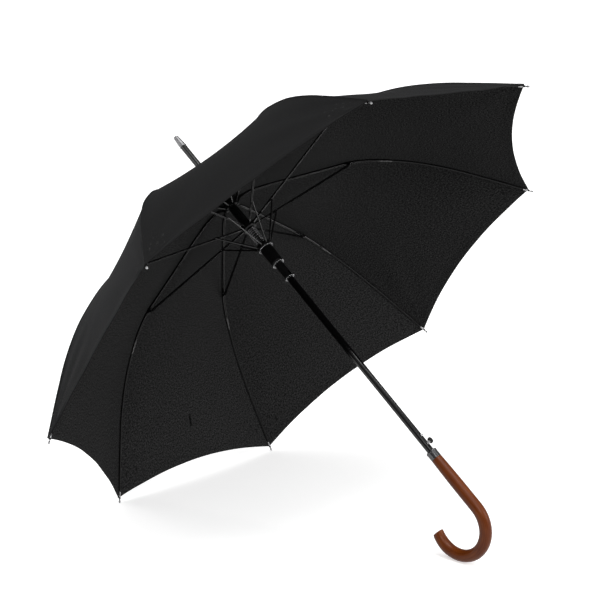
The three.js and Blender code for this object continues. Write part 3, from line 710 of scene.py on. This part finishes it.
notch("crown_notch", [(6.3, 233), (14, 233), (14, 243), (10.5, 246.5), (6.3, 246.5)], 0.5, CROWN_Z, HINGE_R, 1.5, 0, 8.4,
      CROWN_Z - 9, CROWN_Z + 12, "shaft", ("top_notch",))
v, f = torus(HINGE_R, 0.6, CROWN_Z)
mesh("crown_wire", v, f, "shaft", "nickel", "bright_steel", ("top_notch_wire",))
v, f = lathe(fillet([(6.3, 192.1), (8.0, 192.1), (8.3, 192.8), (8.3, 231.4), (8.0, 232.4), (6.3, 232.4)], 0.3), 72)
mesh("stop_tube", v, f, "shaft", "plastic", "black_plastic", ("stop_sleeve",))
notch("floating_notch", [(6.35, 178.5), (12, 178.5), (13.5, 180), (13.5, 190), (12, 191.5), (6.35, 191.5)], 0.5, NOTCH_Z, HINGE_R,
      1.5, 0, 8.4, NOTCH_Z - 2.7, NOTCH_Z + 9, "sliding_notch", ("stretcher_notch",))
v, f = torus(HINGE_R, 0.6, NOTCH_Z)
mesh("floating_wire", v, f, "sliding_notch", "nickel", "bright_steel", ("stretcher_notch_wire",))

# ------------------------------------------------------------------ main spring
top, end, turns, wire = NOTCH_Z - 6.8, RUNNER_Z + 4.1, 9.0, 0.92
rings, N = [], int(turns * 28)
for i in range(N + 1):
    t = i / N
    # dead coils at both ends
    lift = t + 0.045 * math.sin(2 * math.pi * t) * -1
    a = 2 * math.pi * turns * t
    c = np.array([8.3 * math.cos(a), 8.3 * math.sin(a), end + 0.75 + (top - end - 1.5) * lift])
    rad = np.array([math.cos(a), math.sin(a), 0.0])
    rings.append([c + rad * wire * math.cos(q) + np.array([0, 0, 1.0]) * wire * math.sin(q) for q in np.linspace(0, 2 * math.pi, 10, endpoint=False)])
v, f = loft(rings)
spring = mesh("coil_spring", v, f, "sliding_notch", "spring", "black_steel", ("main_spring",))

# ------------------------------------------------------------------ runner
z = RUNNER_Z
prof = [(6.35, 60.4), (7.2, 60.4), (7.7, 61.2), (7.7, 94.6), (10.2, 94.6), (10.9, 97.2), (11.25, 108), (11.7, 126), (11.7, z - 4.2),
        (13.9, z - 3.8), (13.9, z + 2.4), (12.6, z + 3.8), (6.35, z + 3.8)]
v, f = lathe(fillet(prof, 0.45), 96)
runner = mesh("runner_barrel", v, f, "runner", "plastic", "black_plastic", ("runner_body",))
m_len = math.hypot(MID_R - HINGE_R, CROWN_Z - MID_Z)
phi0 = math.atan2(CROWN_Z - MID_Z, MID_R - HINGE_R)
tipv = (514.3 - HINGE_R, CROWN_Z + 9)
fold = math.pi / 2 - math.asin((13.5 - HINGE_R) / math.hypot(*tipv)) - math.atan2(tipv[1], tipv[0])
phi1 = phi0 + fold
s_joint = (HINGE_R + STRUT_AT * math.cos(phi0), NOTCH_Z + STRUT_AT * math.sin(phi0))
s_len = math.hypot(s_joint[0] - RUNNER_R, s_joint[1] - RUNNER_Z)
n1 = CROWN_Z - 2 * m_len * math.sin(phi1)
s1 = (HINGE_R + STRUT_AT * math.cos(phi1), n1 + STRUT_AT * math.sin(phi1))
p1 = s1[1] - math.sqrt(s_len ** 2 - (s1[0] - RUNNER_R) ** 2)
closing = p1 - RUNNER_Z
groove = lathe([(RUNNER_R - 0.95, z - 0.95), (RUNNER_R + 0.95, z - 0.95), (RUNNER_R + 0.95, z + 0.95), (RUNNER_R - 0.95, z + 0.95)], 64)
cut(runner, [groove])
cut(runner, [box(8.6, 24, STRUT_Y - 1.2, STRUT_Y + 1.2, z - 2.7, z + 9, azimuth(k)) for k in range(1, 9)]
    + [rounded_slot(-12, -3, 2.1, TOOTH_END - 0.9 - closing, TOOTH_TOP + 3 - closing)])
v, f = torus(RUNNER_R, 0.55, z)
mesh("runner_hinge_wire", v, f, "runner", "nickel", "bright_steel", ("runner_wire",))
for name, node, r0, r1, z0, z1 in (("ring_upper", "runner_top_ring", 12.0, 13.5, z - 7.4, z - 4.5),
                                   ("ring_middle", "runner_middle_ring", 8.0, 11.0, 91.8, 94.3),
                                   ("ring_lower", "runner_end_ring", 6.4, 8.7, 57.7, 60.1)):
    zm, hb = (z0 + z1) / 2, 0.42
    pr = fillet([(r0, z0), (r1 - 0.2, z0), (r1 - 0.2, zm - hb), (r1 + 0.2, zm - hb), (r1 + 0.2, zm + hb), (r1 - 0.2, zm + hb),
                 (r1 - 0.2, z1), (r0, z1)], [0, 0.3, 0.05, 0.25, 0.25, 0.05, 0.3, 0], 4)
    v, f = lathe(pr, 96)
    v = np.asarray(v)
    ids = [0 if min(math.hypot(v[i][0], v[i][1]) for i in q) > r1 - 0.19 and zm - hb - 0.1 < np.mean([v[i][2] for i in q]) < zm + hb + 0.1 else 1 for q in f]
    mesh(name, v, f, "runner", ["nickel", "collar"], "bright_steel", (node,), 38, ids)

# ------------------------------------------------------------------ catch and release button
ze, zt = TOOTH_END, TOOTH_TOP
tooth = [(-1.1, -346), (-1.1, -318), (-3.2, ze - 2.0), (-4.2, ze - 0.1), (-8.2, ze), (-8.8, ze + 0.5), (-8.75, ze + 1.7), (-6.6, ze + 4.4), (-4.6, zt - 0.1),
         (-2.9, zt + 5.6), (-2.3, zt + 6), (-1.9, zt + 5.7), (-3.1, zt - 1), (-0.3, -318), (-0.3, -346)]
v, f = loft([[(x, y, zz) for x, zz in tooth] for y in (-1.2, 1.2)])
mesh("catch_strip", v, f, "shaft", "nickel", "bright_steel", ("catch_spring",), 30)
zb = BUTTON_Z
rings = []
for x, hy, hz in ((-3.95, 1.9, 3.2), (-4.05, 2.0, 3.3), (-4.5, 2.0, 3.3), (-4.6, 2.0, 2.5), (-9.5, 2.2, 2.5), (-10.3, 2.7, 3.3), (-12.3, 2.7, 3.3)):
    sec = []
    for i in range(24):
        t = 2 * math.pi * i / 24
        c, s = math.cos(t), math.sin(t)
        q = (abs(c) ** 6 + abs(s) ** 6) ** (-1 / 6)
        sec.append((x, hy * q * c, zb + hz * q * s))
    rings.append(sec)
stem = loft(rings)
rings = []
capline = [(-11.6, 2.2), (-11.8, 3.5), (-12.1, 3.85), (-12.7, 3.9), (-13.0, 3.6), (-13.05, 3.3), (-13.9, 3.3), (-13.95, 3.6), (-14.2, 3.9),
           (-15.2, 3.85), (-15.9, 3.5), (-16.4, 2.8), (-16.6, 1.5)]
for x, r in capline:
    rings.append([(x, r * math.cos(t), zb + 1.36 * r * math.sin(t)) for t in np.linspace(0, 2 * math.pi, 40, endpoint=False)])
cap = loft(rings)
# the neck between the two ribs of the cap is bare metal
cap_ids = [0 if all(-14.0 < cap[0][i][0] < -13.0 for i in q) else 1 for q in cap[1]]
v, f, ids = join_parts((stem[0], stem[1], [0] * len(stem[1])), (cap[0], cap[1], cap_ids))
mesh("push_button", v, f, "button", ["nickel", "plastic"], "bright_steel", ("release_button",), 40, ids)

# ------------------------------------------------------------------ collar and crook handle
v, f = lathe(fillet([(6.3, COLLAR_END), (9.3, COLLAR_END), (9.3, -341.1), (9.7, -340.4), (9.7, -338.6), (9.2, COLLAR_TOP), (6.3, COLLAR_TOP)],
                    [0, 0.3, 0.3, 0.4, 0.4, 0.5, 0.2], 4), 96)
mesh("collar", v, f, "shaft", "collar", "collar_black", ("handle_collar",))

stations = []   # x, z, tangent, radius, length along the stick
for zz in np.linspace(HANDLE_TOP, CROOK_Z, 34):
    r = np.interp(-zz, [352.7, 372, 400, 430, 454.5], [9.2, 9.7, 10.2, HANDLE_R, HANDLE_R])
    stations.append((0.0, zz, 0.0, -1.0, r, HANDLE_TOP - zz))
L0 = HANDLE_TOP - CROOK_Z
last = math.radians(CROOK_DEG)
for i in range(1, 91):
    a = last * i / 90
    r = HANDLE_R - 0.9 * max(0.0, (a - 0.86 * last) / (0.14 * last)) ** 1.5
    stations.append((CROOK_R * (1 - math.cos(a)), CROOK_Z - CROOK_R * math.sin(a), math.sin(a), -math.cos(a), r, L0 + CROOK_R * a))
rings, grain = [], []
SEG, L_END = 56, stations[-1][5]


def ring_at(x, zz, tx, tz, r, length):
    nx, nz = -tz, tx
    ring, g = [], []
    skew = 0.30 * max(0.0, min(1.0, (length - L_END + 26.0) / 26.0)) ** 1.5      # the end is sawn a little slantwise
    for t in np.linspace(0, 2 * math.pi, SEG, endpoint=False):
        e = skew * r * math.cos(t)
        ring.append((x + nx * r * math.cos(t) + e * tx, r * math.sin(t), zz + nz * r * math.cos(t) + e * tz))
        g.append((r * math.cos(t), r * math.sin(t), length + e))
    rings.append(ring)
    grain.append(g)


x, zz, tx, tz, r, length = stations[0]
ring_at(x, zz + 0.0, tx, tz, 6.35, 0.0)
ring_at(x, zz, tx, tz, r - 0.35, 0.0)
ring_at(x, zz - 0.12, tx, tz, r - 0.1, 0.12)
for st in stations:
    if st[5] > 0.3:
        ring_at(*st)
x, zz, tx, tz, r, length = stations[-1]
n_body = len(rings)
for q in np.linspace(0.15, 1.0, 7):
    e = 1.0 + 1.0 * math.sin(q * math.pi / 2)
    rr = r - 1.1 * (1 - math.cos(q * math.pi / 2))
    ring_at(x + e * tx, zz + e * tz, tx, tz, rr, length + e)
for rr in (r - 2.6, r - 4.6, r - 7.2):
    ring_at(x + 2.03 * tx, zz + 2.03 * tz, tx, tz, rr, length + 2.05)
# the bore for the shaft
rings.insert(0, [(6.35 * math.cos(t), 6.35 * math.sin(t), HANDLE_TOP - 40.0) for t in np.linspace(0, 2 * math.pi, SEG, endpoint=False)][::1])
grain.insert(0, [(6.35 * math.cos(t), 6.35 * math.sin(t), 40.0) for t in np.linspace(0, 2 * math.pi, SEG, endpoint=False)])
# the first ring runs the same way round as ring_at at the straight part: x + nx r cos with nx = 1
v, f = loft(rings)
nr = len(rings)
ids = []
for i in range(nr - 1):
    ids += [1 if i >= n_body + 4 else 0] * SEG
ids += [0, 1]
crook = mesh("crook", v, f, "shaft", ["wood", "wood_end"], "wood", ("handle_crook",), 50, ids, {"grain": np.array(grain).reshape(-1, 3)})

# ------------------------------------------------------------------ ribs, tips, stretchers, struts
def unit(a, b):
    d = np.array(b, float) - np.array(a, float)
    return d / np.linalg.norm(d)


def rib_parts():
    parts = []
    # flat lug with the hinge eye, the channel grows out of it
    parts.append((*eye_plate((HINGE_R, CROWN_Z), (22.5, 246.6), 1.9, 1.75, -0.9, 0.9), 0))
    path = on_rib(6.0, 16.5, 312.5)
    secs = []
    for x, _ in path:
        g = min(1.0, max(0.0, (x - 16.5) / 9.0))
        secs.append(channel(2.1 + 1.1 * g, 3.5 + 0.3 * g, 0.5, 0.45))
    parts.append((*sweep(path, secs), 0))
    # stretcher clip: two cheeks pressed round the channel, and the lug under it
    mid = on_rib(2.0, MID_R - 9, MID_R + 9)
    clip = [channel(4.1, 4.5, 0.42, 0.6) for _ in mid]
    parts.append((*sweep(mid, clip), 0))
    parts.append((*plate([(MID_R + 2.0 * math.cos(t), MID_Z + 2.0 * math.sin(t)) for t in np.linspace(math.pi, 2 * math.pi, 12)]
                         + [(MID_R + 2.0, MID_Z + 3.2), (MID_R - 2.0, MID_Z + 3.2)], -0.7, 0.7), 0))
    # rod, with the crimped sleeve where the channel hands over to it
    rod = on_rib(6.0, 300.0, 503.0)
    parts.append((*sweep(rod, [circle(1.4 + 0.35 * min(1.0, max(0.0, (495 - p[0]) / 12.0))) for p in rod]), 1))
    sl = on_rib(1.6, 303.0, 324.0)
    n = len(sl)
    secs = []
    for i in range(n):
        q = i / (n - 1)
        r = 2.25 - 0.35 * math.exp(-((q - 0.30) / 0.07) ** 2) - 0.35 * math.exp(-((q - 0.68) / 0.07) ** 2)
        r -= 0.55 * max(0, (q - 0.9) / 0.1) + 0.3 * max(0, (0.08 - q) / 0.08)
        secs.append(circle(r, 18))
    parts.append((*sweep(sl, secs), 0))
    return [(v, f, [m] * len(f)) for v, f, m in parts]


def tip_parts():
    a, b = RIB_PATH[-2], RIB_PATH[-1]
    d = unit(a, b)
    at = np.array(b) + d * 0.3
    prof = [(0.0, 0.0), (1.75, 0.0), (1.95, 0.35), (1.95, 6.2), (1.75, 6.9), (1.25, 7.9), (1.2, 9.6), (1.2, 13.8), (1.3, 15.2),
            (1.7, 15.9), (1.95, 16.9), (1.98, 17.7), (1.7, 18.9), (1.1, 19.6), (0.0, 19.9)]
    v, f = lathe(fillet(prof[1:-1], 0.2)[:0] or prof, 28)
    v = np.asarray(v)
    nrm = np.array([-d[1], d[0]])
    out = np.empty_like(v)
    out[:, 0] = at[0] + d[0] * v[:, 2] + nrm[0] * v[:, 0]
    out[:, 2] = at[1] + d[1] * v[:, 2] + nrm[1] * v[:, 0]
    out[:, 1] = v[:, 1]
    parts = [(out, f, [0] * len(f))]
    # thread bound round the neck, through the cloth's corner
    rings, turns_n = [], 5
    for i in range(turns_n * 14 + 1):
        t = i / 14
        c = 9.2 + 0.62 * t
        ang = 2 * math.pi * t
        r = 1.48
        p = np.array([at[0] + d[0] * c + nrm[0] * r * math.cos(ang), r * math.sin(ang), at[1] + d[1] * c + nrm[1] * r * math.cos(ang)])
        rad = np.array([nrm[0] * math.cos(ang), math.sin(ang), nrm[1] * math.cos(ang)])
        ax = np.array([d[0], 0, d[1]])
        rings.append([p + 0.3 * (rad * math.cos(q) + ax * math.sin(q)) for q in np.linspace(0, 2 * math.pi, 6, endpoint=False)])
    tv, tf = loft(rings)
    parts.append((tv, tf, [1] * len(tf)))
    return parts


def stretcher_parts():
    n, mp = np.array([HINGE_R, NOTCH_Z]), np.array([MID_R, MID_Z])
    d = unit(n, mp)
    ln = float(np.linalg.norm(mp - n))
    at = lambda s: n + d * s
    parts = [(*eye_plate(n, at(11.0), 1.9, 1.6, -0.9, 0.9), 0)]
    ss = np.linspace(7.5, ln - 8.0, 40)
    secs = []
    for s in ss:
        g = min(1.0, (s - 7.5) / 5.0)
        w = 1.9 + 0.8 * g
        h = 3.0 + 0.3 * g
        secs.append(channel(w, h, 0.45, 0.4))
    parts.append((*sweep([at(s) for s in ss], secs), 0))
    # fork round the rib's lug
    fs = np.linspace(ln - 15.0, ln - 4.5, 10)
    parts.append((*sweep([at(s) for s in fs], [channel(3.9, 3.5, 0.75, 0.5) for _ in fs]), 0))
    nn = np.array([-d[1], d[0]])
    for y0, y1 in ((-1.95, -1.1), (1.1, 1.95)):
        ring = [at(ln - 6.0) + nn * 1.6, at(ln - 6.0) - nn * 1.6]
        arc = [mp + 1.65 * (d * math.sin(t) - nn * math.cos(t)) for t in np.linspace(0, math.pi, 12)]
        parts.append((*plate([tuple(p) for p in ring[:1] + ring[1:] + arc], y0, y1), 0))
    parts.append((*pin(mp[0], mp[1], 0.75, -2.05, 2.05), 1))
    parts.append((*pin(mp[0], mp[1], 1.25, -2.35, -1.95), 1))
    parts.append((*pin(mp[0], mp[1], 1.25, 1.95, 2.35), 1))
    # strut saddle: pressed bracket where the strut is riveted on
    q = at(STRUT_AT)
    bs = np.linspace(STRUT_AT - 5.0, STRUT_AT + 5.0, 8)
    parts.append((*sweep([at(s) for s in bs], [channel(3.1, 3.7, 0.35, 0.5) for _ in bs]), 0))
    return [(v, f, [m] * len(f)) for v, f, m in parts]


def strut_parts():
    p, q = np.array([RUNNER_R, RUNNER_Z]), np.array(s_joint)
    d = unit(p, q)
    ln = float(np.linalg.norm(q - p))
    nn = np.array([-d[1], d[0]])
    at = lambda s: p + d * s
    parts = []
    # thin flat link; its inner eye is an open hook
    w = np.array([-0.84 * d[0] - 0.54 * d[1], -0.84 * d[1] + 0.54 * d[0]])
    base = math.atan2(w[1], w[0])
    outer, inner = [], []
    for i in range(21):
        t = base + 0.50 + (2 * math.pi - 1.0) * i / 20
        e = np.array([math.cos(t), math.sin(t)])
        outer.append(p + 2.0 * e)
        inner.append(p + 1.05 * e)
    vs, fs = [], []
    y0, y1 = STRUT_Y - 0.7, STRUT_Y + 0.7
    m = len(outer)
    for y in (y0, y1):
        vs += [(a[0], y, a[1]) for a in outer] + [(a[0], y, a[1]) for a in inner]
    for off, s in ((0, 1), (2 * m, -1)):
        for i in range(m - 1):
            quad = [off + i, off + i + 1, off + m + i + 1, off + m + i]
            fs.append(quad if s > 0 else quad[::-1])
    for a0 in (0, m):
        for i in range(m - 1):
            fs.append([a0 + i, a0 + i + 1, 2 * m + a0 + i + 1, 2 * m + a0 + i])
    for i in (0, m - 1):
        fs.append([i, m + i, 3 * m + i, 2 * m + i])
    parts.append((np.array(vs), fs, 0))
    ss = np.linspace(1.5, ln - 1.0, 16)
    half = [1.3 if s < 6 else 1.3 for s in ss]
    parts.append((*sweep([at(s) for s in ss], [[(-0.7, -h), (-0.7, h - 0.15), (-0.55, h), (0.55, h), (0.7, h - 0.15), (0.7, -h), (0.55, -h - 0.15), (-0.55, -h - 0.15)] for h in half], STRUT_Y), 0))
    arc = [tuple(q + 1.8 * np.array([math.cos(t), math.sin(t)])) for t in np.linspace(0, 2 * math.pi, 24, endpoint=False)]
    parts.append((*plate(arc, y0, y1), 0))
    parts.append((*pin(q[0], q[1], 0.75, -1.9, STRUT_Y + 0.9), 1))
    parts.append((*pin(q[0], q[1], 1.25, STRUT_Y + 0.72, STRUT_Y + 1.15), 1))
    return [(v, f, [m] * len(f)) for v, f, m in parts]


RIB, TIP, STR, STU = (join_parts(*fn()) for fn in (rib_parts, tip_parts, stretcher_parts, strut_parts))
for k in range(1, 9):
    mesh(f"rib_arm_{k}", RIB[0], RIB[1], f"rib_set_{k}", ["rib_steel", "rod"], "black_steel", (f"rib_{k}",), 36, RIB[2], turn_k=k)
    mesh(f"tip_{k}", TIP[0], TIP[1], f"rib_set_{k}", ["tip", "thread"], "bright_steel", (f"rib_tip_{k}",), 40, TIP[2],
         {"cloth": TIP[0]}, turn_k=k)
    mesh(f"stretcher_arm_{k}", STR[0], STR[1], f"stretcher_bar_{k}", ["rib_steel", "spring"], "black_steel", (f"stretcher_{k}",), 36, STR[2], turn_k=k)
    mesh(f"strut_arm_{k}", STU[0], STU[1], f"strut_bar_{k}", ["rib_steel", "spring"], "black_steel", (f"strut_{k}",), 36, STU[2], turn_k=k)

# ------------------------------------------------------------------ tie strap and snap on the gore next to the floor
s0, s1, n = 0.60, 0.86, 40
half_w = 9.0
top_l, bot_l = [], []
cols = np.array([-1, -0.94, -0.86, -0.78, -0.4, 0, 0.4, 0.78, 0.86, 0.94, 1.0])
ss = np.linspace(s0, s1, n)
SS, CC = np.meshgrid(ss, cols, indexing="ij")
P = canopy_point(SS, np.zeros_like(SS), 4.6 + 0.15 * np.sin(SS * 60))
thick = np.where(np.abs(CC) > 0.90, 0.15, np.where(np.abs(CC) > 0.8, 0.50, 0.42))
Q = canopy_point(SS, np.zeros_like(SS), 4.6 + 0.15 * np.sin(SS * 60) + thick * 2)
P[..., 1] = Q[..., 1] = CC * half_w
nn_, mm_ = SS.shape
idx = np.arange(nn_ * mm_).reshape(nn_, mm_)
vs = np.concatenate([P.reshape(-1, 3), Q.reshape(-1, 3)])
fs = []
for i in range(nn_ - 1):
    for j in range(mm_ - 1):
        fs.append([idx[i, j], idx[i, j + 1], idx[i + 1, j + 1], idx[i + 1, j]])
        fs.append([nn_ * mm_ + idx[i, j], nn_ * mm_ + idx[i + 1, j], nn_ * mm_ + idx[i + 1, j + 1], nn_ * mm_ + idx[i, j + 1]])
loop = list(idx[0, :]) + list(idx[1:, -1]) + list(idx[-1, :-1][::-1]) + list(idx[1:-1, 0][::-1])
for a, b in zip(loop, loop[1:] + loop[:1]):
    fs.append([a, b, b + nn_ * mm_, a + nn_ * mm_])
cl = np.stack([CC * half_w, SS * 545, CC * 0], axis=-1).reshape(-1, 3)
strap = mesh("strap", vs, fs, "rib_set_8", "cloth_out", "canopy_fabric", ("tie_strap",), 60, attrs={"cloth": np.concatenate([cl, cl])})
# the tack that sews the strap's root on: a stitched box with a cross, seen on the inside
TACK = (0.868, 0.902, 1.6)


def tack(s, y):
    q = canopy_point(np.array(s), np.array(0.0), 2.55 - CLOTH / 2 - 0.42)
    return (float(q[0]), y, float(q[2]))


rows, w_ = [], TACK[2]
corners = [(TACK[0], -w_), (TACK[0], w_), (TACK[1], w_), (TACK[1], -w_)]
runs = [(corners[i], corners[(i + 1) % 4]) for i in range(4)] + [(corners[0], corners[2]), (corners[1], corners[3])]
for i, (p, q) in enumerate(runs):
    n_st = 7 if i in (1, 3) else (4 if i < 4 else 8)
    for j in range(n_st):
        g0, g1 = (j + 0.12) / n_st, (j + 0.88) / n_st
        e = [np.array(tack(p[0] + (q[0] - p[0]) * g, p[1] + (q[1] - p[1]) * g)) for g in (g0, (g0 + g1) / 2, g1)]
        e[1] = e[1] + np.array([-0.10, 0, -0.12])
        d = e[2] - e[0]
        d = d / np.linalg.norm(d)
        up = np.array([0.55, 0.0, 0.83])
        sd = np.cross(d, up)
        sd = sd / np.linalg.norm(sd)
        ring = [[c + 0.55 * (sd * math.cos(a) + up * math.sin(a)) * r for a in np.linspace(0, 2 * math.pi, 6, endpoint=False)]
                for c, r in zip(e, (0.7, 1.0, 0.7))]
        tv, tf = loft(ring)
        rows.append((tv, tf, [0] * len(tf)))
v, f, ids = join_parts(*rows)
tack_o = mesh("strap_tack", v, f, "rib_set_8", "thread", "canopy_fabric", (), 40, attrs={"cloth": np.asarray(v)})
c0, c1 = canopy_point(np.array(0.83), np.array(0.0), 6.0), canopy_point(np.array(0.83), np.array(0.0), 8.1)
ax = (c1 - c0) / np.linalg.norm(c1 - c0)
e1 = np.array([0.0, 1.0, 0.0])
e2 = np.cross(ax, e1)
v, f = lathe([(0, 0), (5.1, 0), (5.2, 0.3), (4.9, 0.9), (4.2, 1.1), (3.9, 1.6), (3.2, 2.0), (2.4, 2.1), (2.1, 1.7), (0, 1.6)], 40)
v = c0 + v[:, [0]] * e1 + v[:, [1]] * e2 + v[:, [2]] * ax
snap = mesh("snap", v, f, "rib_set_8", "rib_steel", "black_steel", ("strap_snap",), 40)

# ------------------------------------------------------------------ floor and light
fl = bpy.data.meshes.new("floor")
fl.from_pydata([(-60, -60, 0), (60, -60, 0), (60, 60, 0), (-60, 60, 0)], [], [(0, 1, 2, 3)])
floor = bpy.data.objects.new("floor", fl)
bpy.context.scene.collection.objects.link(floor)
s = Nodes("floor_white")
c = s.coord()
s.set(Base_Color=s.mix(s.noise(c, 3.0, 2.0), (0.80, 0.80, 0.80), (0.82, 0.82, 0.82)), Roughness=0.9, Specular_IOR_Level=0.0,
      Emission_Color=(1, 1, 1, 1), Emission_Strength=0.585)
fl.materials.append(s.m)
floor.visible_diffuse = False          # the fill from below comes from the world's lower half instead


def lamp(name, kind, energy, place, look, size=1.0, size_y=None, colour=(1, 1, 1)):
    d = bpy.data.lights.new(name, kind)
    d.energy, d.color = energy, colour
    if kind == "AREA":
        d.shape, d.size, d.size_y = "RECTANGLE", size, size_y or size
    else:
        d.angle = size
    o = bpy.data.objects.new(name, d)
    bpy.context.scene.collection.objects.link(o)
    o.location = place
    o.rotation_euler = (Vector(look) - Vector(place)).to_track_quat("-Z", "Y").to_euler()
    return o


CEN = Vector((0.0, 0.0, 0.35))
lamp("sun", "SUN", 1.40, (-0.50, 0.30, 3.0), (0.0, 0.0, 0.3), math.radians(26))
lamp("front", "AREA", 19, (-2.0, 1.6, 2.3), (0.0, 0.0, 0.3), 0.9, 0.9)
lamp("left", "AREA", 3, (1.15, 1.15, 1.15), (0.15, 0.25, 0.40), 0.5, 0.5)
lamp("right", "AREA", 19, (-2.10, -0.85, 1.10), (-0.2, 0.0, 0.25), 0.32, 1.2)
# long narrow softbox above the handle, parallel to the shaft
sb = lamp("strip_top", "AREA", 0.9, (-0.43, -0.33, 1.26), (0.0, 0.0, 0.2), 0.035, 0.85)
ay = Vector(row_dir((0, 0, 1))).normalized()
az = Vector((-0.579, -0.319, 0.751))
az = (az - ay * az.dot(ay)).normalized()
ax_ = ay.cross(az)
sb.matrix_world = Matrix(((ax_.x, ay.x, az.x, -0.43), (ax_.y, ay.y, az.y, -0.33), (ax_.z, ay.z, az.z, 1.26), (0, 0, 0, 1)))
w = bpy.data.worlds.new("world")
bpy.context.scene.world = w
w.use_nodes = True
wt = w.node_tree
tc = wt.nodes.new("ShaderNodeTexCoord")
sx = wt.nodes.new("ShaderNodeSeparateXYZ")
wt.links.new(tc.outputs["Generated"], sx.inputs[0])
wr = wt.nodes.new("ShaderNodeValToRGB")
for e, (pos, val) in zip([wr.color_ramp.elements[0], wr.color_ramp.elements[1]] + [wr.color_ramp.elements.new(0.5) for _ in range(2)],
                         ((0.0, 0.58), (1.0, 0.54), (0.47, 0.54), (0.60, 0.10))):
    e.position, e.color = pos, (val, val, val, 1)
mr = wt.nodes.new("ShaderNodeMapRange")
mr.inputs["From Min"].default_value = -1.0
wt.links.new(sx.outputs["Z"], mr.inputs["Value"])
wt.links.new(mr.outputs[0], wr.inputs["Fac"])
# the backdrop itself is plain white; the gradient only lights the scene
lp = wt.nodes.new("ShaderNodeLightPath")
mx = wt.nodes.new("ShaderNodeMix")
mx.data_type = "RGBA"
wt.links.new(lp.outputs["Is Camera Ray"], mx.inputs[0])
wt.links.new(wr.outputs["Color"], mx.inputs[6])
mx.inputs[7].default_value = (1.0, 1.0, 1.0, 1.0)
wt.links.new(mx.outputs[2], wt.nodes["Background"].inputs["Color"])
wt.nodes["Background"].inputs["Strength"].default_value = 1.0
bpy.context.scene.view_settings.view_transform = "Standard"

# ------------------------------------------------------------------ bodies, sheets
for o, body, slot_name, nodes in PIECES:
    if nodes:
        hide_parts(*nodes)
    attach(o, body)


for o, k, side in SHEETS:
    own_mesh(o)
for o in (strap, snap, tack_o):
    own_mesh(o)
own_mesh(spring)
